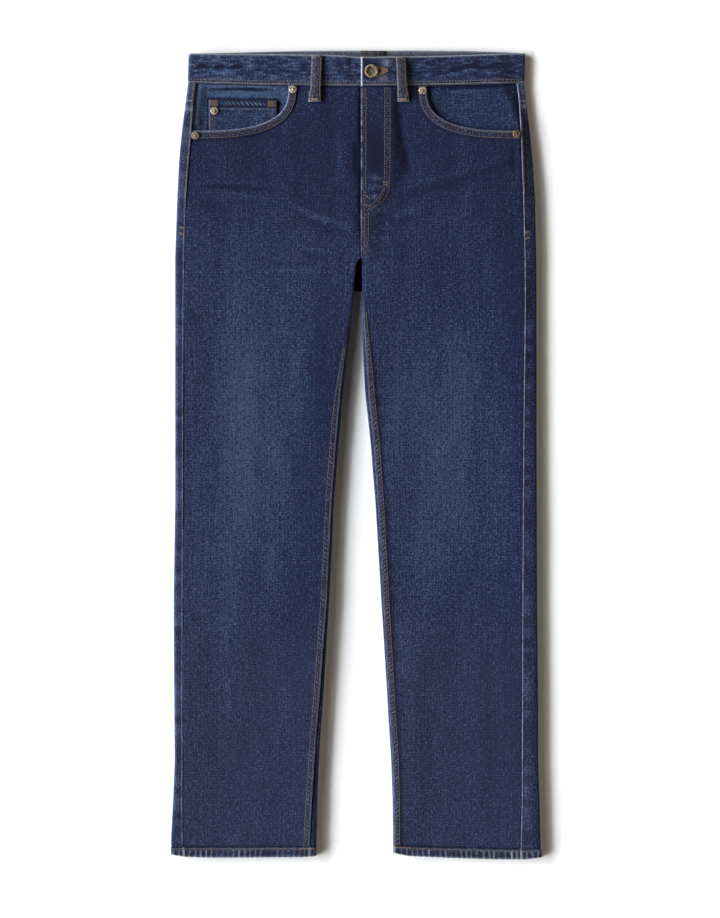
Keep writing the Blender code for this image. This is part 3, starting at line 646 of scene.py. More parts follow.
def end_sinks(side, out, down):
    """How far the top lies lower towards the left side, which is pressed flat, most at the waist."""
    inset = section(side, "outer", down) - out
    reach = np.interp(down, [0, 40, 80], [45, 34, 15])
    return np.interp(down, *zip(*END_SINKS)) * rise(reach - inset, 0, reach - 2) * (side is LEFT)


def skin(side, girth, down):
    """The garment's smooth outside: flat above and below, with a half circle at the outer fold and,
    below the crotch, one at the inner fold. Returns out, height and the outward direction."""
    girth, down = np.broadcast_arrays(np.asarray(girth, float), np.asarray(down, float))
    first, second = fold_radius(down), crotch_radius(down)
    outer, inner = section(side, "outer", down), section(side, "inner", down)
    way = np.abs(girth)
    turn = np.clip(way / first, 0, PI / 2)
    run = np.clip(way - first * PI / 2, 0, None)
    room = np.where(second > 0.01, outer - inner - first - second, 1e6)
    turn_back = np.clip((run - room) / np.maximum(second, 0.01), 0, PI)
    past = np.clip(run - room - second * PI, 0, None)
    upper = np.where(girth < 0, -1.0, 1.0)
    out = outer - first * (1 - np.cos(turn)) - np.minimum(run, room) - second * np.sin(turn_back) + past
    middle = lay("bottom", down) + first
    height = middle + upper * (first * np.sin(turn) - second * (1 - np.cos(turn_back)))
    way_out = np.where(turn_back > 0, -np.sin(turn_back), np.cos(turn))
    way_up = upper * np.sin(turn) * np.cos(turn_back)
    from_outer, from_inner = (rise(gap, SAG_STARTS, SAG_ENDS) for gap in (outer - out, out - inner))
    sink = lay("sag", down) * from_outer * from_inner
    pressed, over = end_sinks(side, out, down), np.clip(way_up, 0, 1)
    below = np.minimum(pressed, np.clip(lay("bottom", down) - 0.1, 0, None)) * rise(16 - outer + out, 0, 14)
    return out, height - (sink + pressed) * over - below * (1 - over), way_out, way_up


def on_skin(side, girth, down, marks):
    """Points, outward directions and marks of a surface that lies on the smooth outside. In its
    troughs the front stays clear of the back beneath it."""
    out, height, way_out, way_up = skin(side, girth, down)
    lowest = lay("bottom", down) + 2 * PLY + 0.2 - height
    lift = marks[LIFT] = np.where(way_up > 0.5, np.maximum(marks[LIFT], lowest), marks[LIFT])
    points = place(side, out + lift * way_out, down, height + lift * way_up, np.where(way_up < 0, -1, 1))
    return points, np.stack([side.sign * way_out, 0 * way_out, way_up], axis=-1), marks


def all_facing(points, way):
    """The same outward direction at every point of a level piece."""
    return np.zeros_like(points) + way


def mouth(side, share):
    """The pocket's mouth, a quarter of a superellipse from the waist seam (0) to the side seam (1)."""
    end = float(seam_out(side, MOUTH_END)) - GAP / 2
    turn, power = np.clip(share, 1e-6, 1) * PI / 2, 2 / MOUTH_ROUNDNESS
    out = end - (end - side.mouth_top) * np.clip(np.cos(turn), 0, 1) ** power
    down = WAIST_SEAM + GAP / 2 + (MOUTH_END - WAIST_SEAM - GAP / 2) * np.sin(turn) ** power
    return np.stack([out, down], axis=-1)


# Seam lines of the front that carry a row of stitches, in (out, down)
def mouth_line(side, inset):
    return beside(even_steps(mouth(side, np.linspace(0, 1, 160)), 70), inset)


def fly_lines():
    """The left front's stitching: a row by the fly's edge, the curved double row, and the crotch's."""
    edge = curve([(6.2, 37), (6.2, 120), (5.6, 168), (4.8, 190), (4.6, 215), (4.2, 238), (3.2, 251)], 4)
    inner = curve([(29.5, 38), (29.5, 100), (29.3, 156), (26.6, 172), (18.0, 184), (9.0, 191.5)], 4)
    outer = curve([(36.2, 38), (36.2, 100), (35.8, 160), (33.0, 174), (25.0, 186), (7.0, 196)], 4)
    lower = curve([(9.2, 198), (9.4, 215), (8.6, 236), (5.2, 250)], 4)
    return [edge, inner, outer, lower]


FLY_LINES = fly_lines()
FLY_BAND = (even_steps(FLY_LINES[1], 80) + even_steps(FLY_LINES[2], 80)) / 2
MOUTH_LINES = {side.name: [mouth_line(side, 2.2), mouth_line(side, 9.0)] for side in SIDES}
MOUTH_EDGES = {side.name: mouth_line(side, 0.0) for side in SIDES}


def groove(distance, deep=0.22):
    """A row of stitches draws the cloth in, with painted shade along the groove."""
    return marked(-deep * hill(distance, 1.0), -0.38 * hill(distance, 1.3))


def mouth_marks(side, out, down):
    """The mouth's folded edge: thicker as far as its second row, worn along its rim, puckered. Its
    puckers are painted with shade and light, and a line of painted shade runs below its band.
    """
    distance, at = nearest(MOUTH_EDGES[side.name], out, down)
    wave = puckers(at, 4.6, 11 + side.sign)
    inside = rise(-distance, -MOUTH_BAND - 1.2, -MOUTH_BAND + 0.4)
    between = hill(distance - 5.6, 3.2)
    lift = 0.55 * inside - 0.35 * hill(distance, 0.6) + 0.14 * wave * between
    lift = lift - 0.3 * hill(distance - MOUTH_BAND - 1.5, 1.4)
    # painted shade and light on the puckers, and painted shade below the folded band's edge
    shade = (0.30 * wave - 0.26) * between - 0.75 * hill(distance - MOUTH_BAND - 1.0, 1.7)
    rim = 1.0 if side is RIGHT else 0.74
    worn = rim * rise(-distance, -1.7, -0.6) * (0.80 + 0.2 * wander(at, 3, 5))
    marks = marked(lift, shade, worn, 0.45 * between * rise(distance, 1.2, 2.6))
    for row in MOUTH_LINES[side.name]:
        marks += groove(nearest(row, out, down, 6.0)[0])
    return marks


def waist_seam_marks(distance, at):
    """The cloth dives under the waistband, along an uneven line of painted shade."""
    uneven = 0.75 + 0.25 * wander(at, 26, 31)
    return marked(-0.9 * hill(distance, 1.8) * uneven, -1.25 * hill(distance, 2.3) * uneven)


def side_seam_marks(distance, down, seed):
    """On the front (distance > 0) a shallow groove beside the seam, painted in shade, and on the back's edge
    (distance < 0) a raised strip with a thin worn rim, a furrow beside it painted in shade, and patches.
    Its puckers and long waves are painted with shade and light, and the right side's strip, whose fold
    faces the key light, is painted paler."""
    away = np.abs(distance)
    long_waves = puckers(down, 24 if seed % 2 else 13, seed) * rise(down, 120, 260)
    tight = puckers(down, 5.2, seed + 3)
    patches = wander(down, 8, seed + 5)
    topped = rise(SIDE_ROWS_END - down, -6, 6)
    sharp = 0.4 + 0.6 * rise(220 - down, 0, 60)
    strip = rise(-distance, 0, 0.2) * rise(-away, -13, -6)
    front = np.where(distance > 0, 1.0, 0.0)
    furrow = hill(away - 2.8, 1.7) * (1 - front) * (0.6 + 0.4 * patches)
    lift = sharp * (0.30 * hill(away, 3.0) * (1 - front) - 0.3 * hill(away, 1.8) * front) - 0.25 * furrow
    lift = lift + strip * (0.12 * tight + 0.18 * long_waves) + 0.08 * long_waves * hill(away, 14) * front
    # painted shade in the front's groove beside the seam and in the furrow beside the strip
    edge_painted_shade = 0.9 * sharp - 0.25
    shade = -edge_painted_shade * hill(away, 1.2) * front - 0.60 * furrow
    # painted light on the right side's strip, whose fold faces the key light
    bright = 0.35 * rise(-distance, 4, 9) if seed < 90 else 0.0
    shade = shade + strip * (0.12 + bright + 0.16 * tight + 0.30 * long_waves + 0.85 * patches)
    shade = shade + 0.14 * long_waves * hill(away, 13) * front
    worn = hill(away - 0.4, 0.62) * (1 - front) * (0.74 + 0.26 * wander(down, 5, seed))
    return marked(lift, shade, worn, strip * (0.14 + 0.18 * topped))


def inseam_marks(side, distance, down):
    """The front's felled edge over the back: raised as far as its second row, with a worn rim and
    slanted puckers between the two rows, painted with shade and light, and a line of painted shade
    beyond the second row. Where the rows have not yet come out the edge is painted darker; on the left
    side this is painted shade over a fold that faces the key light."""
    distance = distance / np.where(distance > 0, rows_open(side, down), 1.0)
    slant = puckers(down + 0.9 * distance, 5.4, 41 + side.sign)
    long_waves = puckers(down, 23, 45 + side.sign)
    leg = rise(down, INSEAM_STARTS[side.name], INSEAM_STARTS[side.name] + 50)
    inside = rise(-distance, -9.6, -7.6) * leg
    between = hill(distance - 4.6, 2.5) * leg
    lift = 0.5 * inside + 0.17 * slant * between + leg * 0.2 * long_waves * hill(distance, 13)
    dark = 1.1 if side is RIGHT else 0.6
    shade = (1.5 * slant - dark) * between - 0.35 * hill(distance - 9.6, 1.6) * leg
    shade = shade + 0.22 * long_waves * hill(distance - 8, 11) * leg
    # above where the rows come out the edge is painted darker; on the left side, painted shade over the lit
    # fold
    plain = (1 - leg) * rise(down, CROTCH, CROTCH + 6)
    shade = shade - (0.55 * hill(distance - 2, 5) if side is RIGHT else 1.3 * hill(distance, 3)) * plain
    shade = shade - 0.30 * rise(distance, 1, 3) * rise(-distance, -9.6, -7.6) * leg
    rim = hill(distance, 0.8) * (0.56 + 0.24 * wander(down, 6, 44))
    worn = leg * (rim + 0.45 * rise(slant, 0.3, 1) * between)
    marks = marked(lift, shade, worn, (0.35 if side is RIGHT else 0.55) * between)
    for row in INSEAM_ROWS:
        marks += groove(distance - row) * leg
    return marks


def rows_open(side, down):
    """How far apart an inseam's rows look, of their full distance: they come out of the fold slowly."""
    start = INSEAM_STARTS[side.name]
    return 0.35 + 0.65 * rise(down, start, start + 130)


def fly_marks(side, out, down):
    """The left front stands over the right one as far as its curved rows. Its edge is worn, the
    cloth beside the edge is drawn in, and puckers cross between the rows. Painted shade lies in the right
    front's groove under the lap, between the rows, on the puckers and beyond the curved rows."""
    below = rise(down, WAIST_SEAM, WAIST_SEAM + 4)
    if side is RIGHT:
        depth = hill(out + 0.5, 3.2) * rise(LAP_ENDS - down, -8, 10)
        return marked(-0.9 * depth, -0.9 * hill(out, 1.9) * below)
    reach, lifted = along(FLY, "reach", down), along(FLY, "lift", down)
    lap = LAP_LIFT * lifted * rise(reach + LAP_FADES - out, 0, LAP_FADES)
    tight = puckers(down, 4.4, 61)
    body = rise(LAP_OUT + 14 - down, -8, 6)
    band = nearest(FLY_BAND, out, down)[0]
    upper = rise(196 - down, 0, 6)
    beside_edge = hill(out - 4.2, 1.9) * upper
    crotch_seam = hill(out - 4.0, 4.2) * (1 - upper) * body
    between = (beside_edge + hill(band, 3.0) + crotch_seam) * below
    lift = lap + 0.13 * tight * between - 0.3 * hill(out, 0.6)
    shade = (0.22 * tight - 0.45) * between - 0.30 * hill(out - 40.0, 1.8) * rise(-down, -165, -150)
    wide = 1.1 + 1.1 * rise(180 - down, -8, 30)
    worn = rise(wide + 0.6 - out, 0, 1.0) * (0.20 + 0.26 * wander(down, 4, 63))
    worn = worn * rise(CROTCH + 4 - down, 0, 14)
    marks = marked(lift, shade, worn, 0.42 * np.clip(between, 0, 1) * rise(out, wide, wide + 1))
    for row in FLY_LINES:
        marks += groove(nearest(row, out, down, 6.0)[0])
    return marks


def rivet_marks(side, out, below):
    """Each rivet presses the cloth down round itself, with a ring of painted shade just outside it."""
    marks = marked(np.zeros_like(out))
    for rivet in RIVETS:
        if rivet.side is side and rivet is not COIN_RIVET:
            gap = np.hypot(out - rivet.out, below - rivet.down)
            marks += marked(-0.6 * hill(gap, 6.0), -0.8 * hill(gap - 5.6, 1.2))
    return marks


def loop_painted_shadow(side, out, down):
    """Painted shadow on the cloth close to a belt loop, most on the viewer's right of it, away from the
    key light, and below its foot.
    """
    top, foot = FRONT_LOOPS[side.name]
    off = side.sign * (out - top - (foot - top) * down / LOOP_FOOT)
    painted_shadow_right = hill(off - LOOP_HALF - 1.0, 1.5)
    painted_shadow_left = 0.45 * hill(off + LOOP_HALF + 0.8, 1.2)
    painted_shadow_below = 0.9 * hill(down - LOOP_FOOT - 0.9, 1.4) * rise(LOOP_HALF + 2 - np.abs(off), 0, 2)
    return marked(shade=-(painted_shadow_right + painted_shadow_left) * rise(LOOP_FOOT + 2 - down, 0, 2) - painted_shadow_below)


def hem_dent_marks(side, out, down):
    """The leg dips to the hem's upper edge, deeper in some places than in others, with painted shade
    along the dip.
    """
    distance = side.hem_low - HEM_HEIGHT - down
    uneven = 0.7 + 0.3 * wander(out, 17, 71 + side.sign)
    return marked(-0.7 * hill(distance, 3.2) * uneven, -0.42 * hill(distance, 3.6) * uneven)


def cloth_marks(x, down, seed):
    """Unevenness of laid cloth: soft swells, and long paler and darker streaks down the grain."""
    swell = 0.30 * unevenness(x, down, 42, 70, seed) + 0.12 * unevenness(x, down, 15, 21, seed + 1)
    shade = 0.14 * unevenness(x, down, 16, 130, seed + 2) + 0.10 * unevenness(x, down, 9, 12, seed + 3)
    return marked(swell, shade)


def given_first(surface):
    """Lets a surface be given its side first and its grids of places later."""
    return lambda *first: partial(surface, *first)


def front_marks(side, girth, out, down):
    """Marks of the front: creases, fades, the seams round it, the pocket's mouth, the fly, the rivets
    and the dip to the hem, added up."""
    x, below = side.sign * out, dipped(side, out, down)
    marks = cloth_marks(x, down, 80) + crease_marks(FRONT_CREASES, x, below)
    marks += fade_marks(FRONT_FADES, x, below) + loop_painted_shadow(side, out, down)
    marks += waist_seam_marks(down - WAIST_SEAM, out)
    marks += side_seam_marks(girth - side_girth(side, down), down, 90 + side.sign)
    marks += inseam_marks(side, inseam_girth(side, down) - girth, down)
    marks += mouth_marks(side, out, down) + fly_marks(side, out, down)
    marks[WORN] += 0.04 * rise(down, 640, 800)
    marks[SHADE] += 0.08 - 0.20 * rise(down, 600, 800)
    return marks + rivet_marks(side, out, below) + hem_dent_marks(side, out, down)


@given_first
def front_surface(side, girth, down):
    """The outside of a front: the smooth skin, lifted by its marks."""
    out = skin(side, girth, down)[0]
    return on_skin(side, girth, down, front_marks(side, girth, out, down))


def yoke_line(side, out):
    return np.interp(out, [0, float(section(side, "outer", YOKE_AT_SIDE))], [YOKE_AT_CENTRE, YOKE_AT_SIDE])


def back_marks(side, girth, out, down):
    """Marks of the back: its strip that shows beside the side seam, and the flat underside, where
    creases only lift the cloth off the surface. On the left side, below the crotch, the inner fold, which
    faces the key light, is painted in shade."""
    x = side.sign * out
    under = rise(-girth, 1, 6)
    creases = crease_marks(BACK_CREASES, x, down)
    marks = fade_marks(BACK_FADES, x, down) + creases + cloth_marks(x, down, 110)
    marks[LIFT] = np.minimum(marks[LIFT], 0) - 0.1
    marks *= under
    marks += side_seam_marks(girth - side_girth(side, down), down, 90 + side.sign) * rise(girth, -4, 0)
    seat, body = np.abs(down - yoke_line(side, out)), rise(CROTCH - down, -6, 2)
    for inset in SEAT_ROWS:
        marks += groove(seat - inset, SUNK) * under + groove(out - inset, SUNK) * under * body
    felled = hill(seat - 4.5, 3.0) + hill(out - 4.5, 3.0) * body
    worn = 0.5 * hill(seat, 1.0) + 0.4 * hill(out, 1.1) * body
    marks += marked(shade=-0.2 * felled, worn=worn, sewn=0.4 * np.clip(felled, 0, 1)) * under
    for at in YOKE_ROWS[side.name]:
        bar = hill(down - at, 1.3) * (1 - under)
        beside_bar = hill(np.abs(down - at) - 2.4, 1.0) * (1 - under)
        marks += marked(0.1 * bar, -0.5 * beside_bar, 0.5 * bar, 0.3 * bar)
    # painted shade over the left inner fold below the crotch, which faces the key light
    if side is LEFT:
        crotch = rise(down, CROTCH - 6, CROTCH) * rise(305 - down, 0, 25)
        edge, whole = hill(out - section(side, "inner", down), 3.5), full_girth(side, down)
        marks += marked(shade=-1.6 * (edge * crotch) * (1 - rise(-girth, whole, whole + 9)))
    dents = hem_dent_marks(side, out, down)
    dents[LIFT] *= 1 - under
    return marks + dents


@given_first
def back_surface(side, girth, down):
    """The outside of a back and its yoke: the smooth skin round the fold and below, lifted likewise."""
    out = skin(side, girth, down)[0]
    return on_skin(side, girth, down, back_marks(side, girth, out, down))


@given_first
def hem_surface(side, girth, down):
    """The turned-up hem: thicker than the leg, roped by its stitches into thin light worn bars with
    hollows of painted shade between, and worn on its lower edge. Painted shade also runs along its row
    and beside the side seam."""
    top = side.hem_low - HEM_HEIGHT
    out, _, _, way_up = skin(side, girth, down)
    below = down - top
    slant = out - 0.08 * below + 0.8 * wander(below + out, 9, 120) + 2.0 * wander(out, 31, 122)
    rope = puckers(slant, 6.8, 121 + side.sign)
    strength = 0.72 + 0.28 * wander(out, 11, 123 + side.sign)
    bar = rise(rope, 0.4, 0.95) * strength
    body = rise(below, 2.6, 4.2) * rise(HEM_HEIGHT - below, -0.2, 2.4)
    edge = HEM_HEIGHT - below
    under = np.where(way_up < -0.5, 0.0, 1.0)
    lift = 0.35 + (0.42 * bar - 0.14) * body - 0.7 * hill(edge, 0.9) - 0.45 * hill(below, 0.8)
    lift = lift * under - SUNK * hill(below - HEM_ROW, 1.1) * (1 - under)
    blocks = rise(wander(out, 8, 125 + side.sign), 0.0, 0.5)
    # painted light on the rope's bars and painted shade in its hollows, with darker blocks of tone
    shade = -0.05 + (0.7 * bar - 0.9 * rise(-rope, -0.5, 0.7) - 0.45 * blocks) * body
    shade = shade - 0.45 * hill(below - HEM_ROW, 0.9)
    worn = 0.62 * hill(edge, 1.4) + 0.10 * hill(below - 3.4, 1.0) + (0.66 - 0.1 * blocks) * bar * body
    seam = girth - side_girth(side, down)
    worn = worn + 0.55 * hill(seam, 1.0) + 0.4 * hill(inseam_girth(side, down) - girth, 1.3)
    shade = shade - 0.6 * hill(seam - 2.2, 1.4)
    points, ways, marks = on_skin(side, girth, down, marked(lift, shade, worn, 0.12 * body + 0.08))
    outer, inner = section(side, "outer", down), section(side, "inner", down)
    across = np.clip((outer - out) / (outer - inner), 0, 1)
    curl = np.interp(across, *zip(*side.hem_corners)) + 0.25 * rope
    points[..., 1] += curl * np.clip(below / HEM_HEIGHT, 0, 1) ** 2
    return points, ways, marks


@given_first
def band_surface(side, girth, down):
    """The waistband: its upper edge rolls over, its lower edge stands off the cloth below, and its
    left end lifts over its right one, which is pressed down, with a dimple at the button. Its creases and
    puckers are painted with shade and light, painted shade rings the button, and the belt loops throw
    painted shadow on it."""
    out, _, _, way_up = skin(side, girth, down)
    x, below = side.sign * out, dipped(side, out, down)
    facing_up = rise(way_up, -0.2, 0.4)
    marks = (crease_marks(BAND_CREASES, x, below) + loop_painted_shadow(side, out, down)) * facing_up
    # darker over the left half, and uneven in tone
    band_tone = 0.05 - 0.24 * (side is LEFT) + 0.16 * unevenness(x, down, 12, 7, 133)
    marks += 0.8 * cloth_marks(x, down, 130) + marked(shade=band_tone)
    lower, upper = WAIST_SEAM - down, down
    tight = puckers(girth, 3.6, 134 + side.sign)
    lift = BAND_RISE + 0.35 * rise(upper, 0, 4) * rise(lower, 0, 6)
    lift = lift - 0.75 * hill(upper, 1.1) - 0.5 * hill(lower, 0.8)
    lift = lift + 0.10 * tight * hill(lower - 5.5, 3.2)
    # painted shade and light on the puckers near the lower edge
    shade = (0.30 * tight - 0.12) * hill(lower - 4.6, 1.5) - 0.45 * hill(lower - 3.4, 0.8)
    worn = hill(upper, 1.3) * (0.90 + 0.1 * wander(x, 8, 136)) + 0.22 * hill(lower, 0.8)
    sewn = 0.45 * hill(lower - 3.6, 2.4)
    if side is LEFT:
        over = rise(BAND_LIFT_ENDS - out, 0, BAND_LIFT_ENDS - UNDERLAP) * facing_up
        gap = np.hypot(out - BUTTON_AT[0], below - BUTTON_AT[1])
        tail = hill(np.abs(below - TAIL_TIP[1]), 5.0) * rise(TAIL_TIP[0] + 3 - out, 0, 9) * rise(out, 17, 22)
        dimple = 0.15 * hill(gap, 10.0)
        lift = lift + BAND_LIFT * over + (0.7 * tail - dimple - 0.5 * hill(out, 0.9)) * facing_up
        patch = hill(np.hypot(out - 32, (below - 12) * 1.2), 6)
        patch = patch + hill(np.hypot((out - 27) * 0.7, below - 30.5), 4.5)
        worn = worn + facing_up * (0.85 * rise(2.2 - out, 0, 1.2) + 0.34 * patch)
        corner = 0.7 * hill(out - 9, 4.5) * rise(14 - down, -4, 6)
        # darker at the corner beside the button, and painted shade in a ring round the button
        shade = shade - facing_up * (corner + 0.8 * hill(gap - 9.2, 1.2))
        sewn = sewn + facing_up * 0.5 * rise(3.4 - out, 0, 2)
    else:
        lift = lift - UNDERLAP_SINKS * rise(22 - out, 0, 22) * facing_up
    behind = 1 - facing_up
    shade = shade + behind * (0.9 * puckers(girth, 6.8, 137) - 0.2) * hill(upper, 9)
    worn = worn + behind * 0.36 * hill(upper, 9) * (0.8 + 0.2 * wander(x, 5, 138))
    sewn = sewn + behind * 0.7 * hill(upper, 9)
    marks += marked(lift, shade, worn, sewn) + groove(lower - BAND_ROW)
    flat_under = np.minimum(marks[LIFT] - BAND_RISE, 0) - SUNK * hill(lower - BAND_ROW, 1.1)
    marks[LIFT] = np.where(way_up < -0.5, flat_under, marks[LIFT])
    return on_skin(side, girth, down, marks)


@given_first
def facing_surface(side, out, down):
    """The cloth inside the pocket's mouth. The right one sinks under the coin pocket. Painted shade
    runs along the side strip's edge, under the waistband, under the mouth's edge and round the coin pocket,
    its creases are painted with shade and light, and on the right one the bulge by the strip is painted
    paler where it faces the key light.
    """
    x = side.sign * out
    edge = seam_out(side, down)
    sink = 0.0
    if side is RIGHT:
        sink = FACING_SINK * rise(down, WAIST_SEAM, 50) * rise(edge - out, 0, 18)
    marks = crease_marks(FACING_CREASES, x, dipped(side, out, down)) + 0.7 * cloth_marks(x, down, 150)
    # the right facing is paler, with painted light where its bulge by the strip faces the key light; painted
    # shade along the strip's edge and under the waistband
    lighter = 0.75 + 0.5 * hill(edge - out - 6, 9) if side is RIGHT else -0.10
    marks += marked(shade=lighter - 0.5 * hill(edge - out, 2.0) - 0.55 * hill(down - WAIST_SEAM, 2.0))
    distance = nearest(MOUTH_EDGES[side.name], out, down)[0]
    # painted shade under the mouth's edge
    marks += marked(shade=-0.55 * hill(distance, 2.0))
    if side is RIGHT:
        box_out = np.maximum(COIN_OUT[0] - out, out - COIN_OUT[1])
        gap = np.hypot(np.clip(box_out, 0, None), np.clip(COIN_DOWN[0] - down, 0, None))
        # painted shade round the coin pocket's edge
        marks += marked(-0.2 * hill(gap, 2.0), -2.0 * hill(gap, 2.2))
    marks[LIFT] = np.minimum(marks[LIFT], 0.25)
    if side is RIGHT:
        marks[LIFT] += 0.85 * hill(edge - out - 7, 5.0) * rise(distance, 3, 9)
    points = place(side, out, down, FACING_TOP - sink - end_sinks(side, out, down) + marks[LIFT], 1)
    return points, all_facing(points, UP), marks


def coin_surface(out, down):
    """The coin pocket: its hem is a doubled strip with slanted puckers, its sides are folded under. The
    puckers are painted with shade and light and worn paler on their ridges, a line of painted shade runs
    below the strip, and a ring of painted shade lies round the rivet.
    """
    low, high = COIN_OUT
    below = down - COIN_DOWN[0]
    edge = np.minimum(out - low, high - out)
    hemmed = rise(COIN_BAND - below, -0.6, 0.8)
    slant = puckers(out + 0.9 * below, 5.2, 160, 1.0)
    strip = hill(below - 4.6, 2.6) * rise(edge, 12, 16)
    x = -out
    marks = 0.6 * cloth_marks(x, down, 161) + marked(shade=0.15 * unevenness(x, down, 9, 9, 163))
    lift = 0.6 * hemmed - 0.45 * hill(edge, 0.8) - 0.35 * hill(below, 0.7) + 0.22 * slant * strip
    shade = 2.0 * slant * strip - 0.20 * hemmed - 2.2 * hill(below - COIN_BAND, 1.4)
    worn = 0.30 * hill(edge, 0.8) + 0.72 * rise(slant, 0.2, 1) * strip
    worn = worn + 0.3 * hill(below - COIN_BAND - 2.2, 0.8)
    marks += marked(lift, shade, worn, 0.5 * hill(edge - 5.6, 2.4) * rise(below, 9, 12))
    for line in COIN_LINES:
        marks += groove(out - line)
    for line in COIN_ROWS:
        marks += groove(below - line)
    gap = np.hypot(out - COIN_RIVET.out, down - COIN_RIVET.down)
    marks += marked(-0.2 * hill(gap, 5.0), -0.8 * hill(gap - 5.4, 1.1))
    marks[LIFT] = np.clip(marks[LIFT], -0.5, 0.9)
    floor = FACING_TOP - FACING_SINK + GAP + PLY
    points = place(RIGHT, out, down, floor + marks[LIFT], 1)
    return points, all_facing(points, UP), marks


@given_first
def back_pocket_surface(side, out, down):
    """A patch pocket under the garment, seen from below. `out` and `down` as everywhere."""
    below, half = (list(column) for column in zip(*BACK_POCKET))
    width = np.interp(down - BACK_POCKET_DOWN, below, half)
    edge = np.minimum(width - np.abs(out - BACK_POCKET_OUT), down - BACK_POCKET_DOWN)
    edge = np.minimum(edge, (BACK_POCKET_DOWN + below[-1] - down) * 0.9)
    x = side.sign * out
    top = down - BACK_POCKET_DOWN
    marks = 0.5 * cloth_marks(x, down, 170) + marked(shade=0.22 * hill(top - 70, 50))
    marks[LIFT] = np.minimum(marks[LIFT], 0)
    marks += marked(-0.25 * hill(edge, 0.8), 0.0, 0.5 * hill(edge, 1.1))
    for line in POCKET_ROWS:
        marks += groove(edge - line, SUNK)
    marks += groove(top - POCKET_HEM, SUNK) + marked(sewn=0.35 * hill(edge - 5.4, 2.6))
    points = place(side, out, down, -marks[LIFT], -1)
    return points, all_facing(points, DOWNWARDS), marks


@given_first
def front_loop_surface(side, across, down):
    """A belt loop: bowed off the band between its ends, its long edges rolled, its foot folded. Painted
    shade lies on its puckers and across it at its foot's fold and below its top tack.
    """
    top_out, foot_out = FRONT_LOOPS[side.name]
    share = down / LOOP_FOOT
    flare = 0.24 * rise(down, 42.5, 45) * np.where(across > 0, 1.0, 0.35) + 0.08 * (side is RIGHT)
    out = top_out + (foot_out - top_out) * share + across * (1 + flare)
    bow = 1.1 * np.sin(PI * np.clip(share * 0.98 + 0.01, 0, 1)) ** 0.8
    bow = bow - (LOOP_SEAT - LOOP_FOOT_SEAT) * rise(down, 36, 50)
    if side is LEFT:
        bow = bow + 0.8 * BAND_LIFT * rise(down, 52, 30) * rise(LOOP_HALF * 2 - across, 0, LOOP_HALF * 3)
    edge = LOOP_HALF - np.abs(across)
    tight = puckers(down, 3.7, 180 + side.sign)
    lift = bow + LOOP_PLY - 0.55 * hill(edge, 0.9) + 0.12 * hill(across, 1.6)
    lift = lift - 0.3 * hill(down, 0.8) + 0.10 * tight * hill(edge - 2.4, 2.0)
    lift = lift + 0.5 * rise(down, 44.5, 46) * rise(LOOP_FOOT - down, -0.2, 0.8)
    shade = 0.05 + 0.5 * tight * hill(edge - 2.2, 2.0) - 0.5 * hill(across, 1.7)
    shade = shade + 0.4 * hill(across - 2.6, 0.9)
    shade = shade + 0.25 * wander(down, 5, 183) - 0.5 * hill(down - 45, 0.9) - 0.5 * hill(down - 5.6, 1.0)
    frayed = rise(down, LOOP_FOOT - 5.5, LOOP_FOOT - 3.5)
    worn = 0.26 * rise(-edge, -1.2, -0.4) * (0.7 + 0.3 * wander(down, 3, 184)) + 0.2 * hill(down - 2.4, 2.0)
    worn = worn + frayed * (0.12 + 0.3 * hill(LOOP_FOOT - down, 1.0) + 0.15 * hill(edge, 1.2))
    marks = marked(lift, shade, worn, 0.5)
    for line in LOOP_ROWS:
        marks += groove(across - line)
    points = place(side, out, down, LOOP_SEAT + marks[LIFT], 1)
    return points, all_facing(points, UP), marks


@given_first
def back_loop_surface(side, at, across, down):
    """A belt loop on the back of the band, flat on the surface that the garment lies on."""
    edge = LOOP_HALF - np.abs(across)
    tight = puckers(down, 4.6, 190)
    shade = 0.25 * tight * hill(edge - 1.6, 2.0)
    marks = marked(-0.4 * hill(edge, 0.9), shade, 0.4 * hill(edge, 0.9), 0.5)
    for line in LOOP_ROWS:
        marks += groove(across - line, SUNK)
    points = place(side, at + across, down, -marks[LIFT], -1)
    return points, all_facing(points, DOWNWARDS), marks


def label_surface(out, down):
    """The label: flat on the inside of the band's back, slightly uneven, its edges sunk."""
    edge = np.minimum(np.minimum(out - LABEL_OUT[0], LABEL_OUT[1] - out), down - LABEL_DOWN[0])
    ticks = 0.35 * wander(out, 3.5, 201) + 0.6 * hill(out - 21.5, 0.9) - 0.4 * hill(down - 4, 1.5)
    marks = marked(0.15 * unevenness(out, down, 9, 6, 200) - 0.25 * hill(edge, 0.8), ticks)
    floor = float(lay("bottom", 0)) + 2 * PLY + GAP + LABEL_PLY
    points = place(LEFT, out, down + 1.0, floor + marks[LIFT], -1)
    return points, all_facing(points, UP), marks


# Grids


def spread(start, end, count, near=SEAM_STEPS, far=SEAM_STEPS):
    """Columns between two ends, close together near each and even in between. The ends may be rows
    of values."""
    start, end = (np.atleast_1d(np.asarray(v, float))[:, None] for v in (start, end))
    way = np.sign(end - start)
    shares = np.linspace(0, 1, count + 2)[1:-1]
    first, last = start + way * near[-1], end - way * far[-1]
    between = first + (last - first) * shares
    return np.concatenate([start + way * near, between, end - way * far[::-1]], axis=1)


def level_rows(columns, downs):
    """A patch with one "down" to each of its rows."""
    return columns, np.broadcast_to(downs[:, None], columns.shape)


def leg_downs(side):
    """Rows from the front's split to the hem: close at the crotch and just above the hem."""
    seam = side.hem_low - HEM_HEIGHT - GAP
    return np.concatenate([
        np.arange(BLOCK_SPLIT, seam - 12, 1.5),
        seam - np.array([11, 9.4, 7.9, 6.5, 5.2, 4.0, 3.0, 2.0, 1.0, 0.0]),
    ])


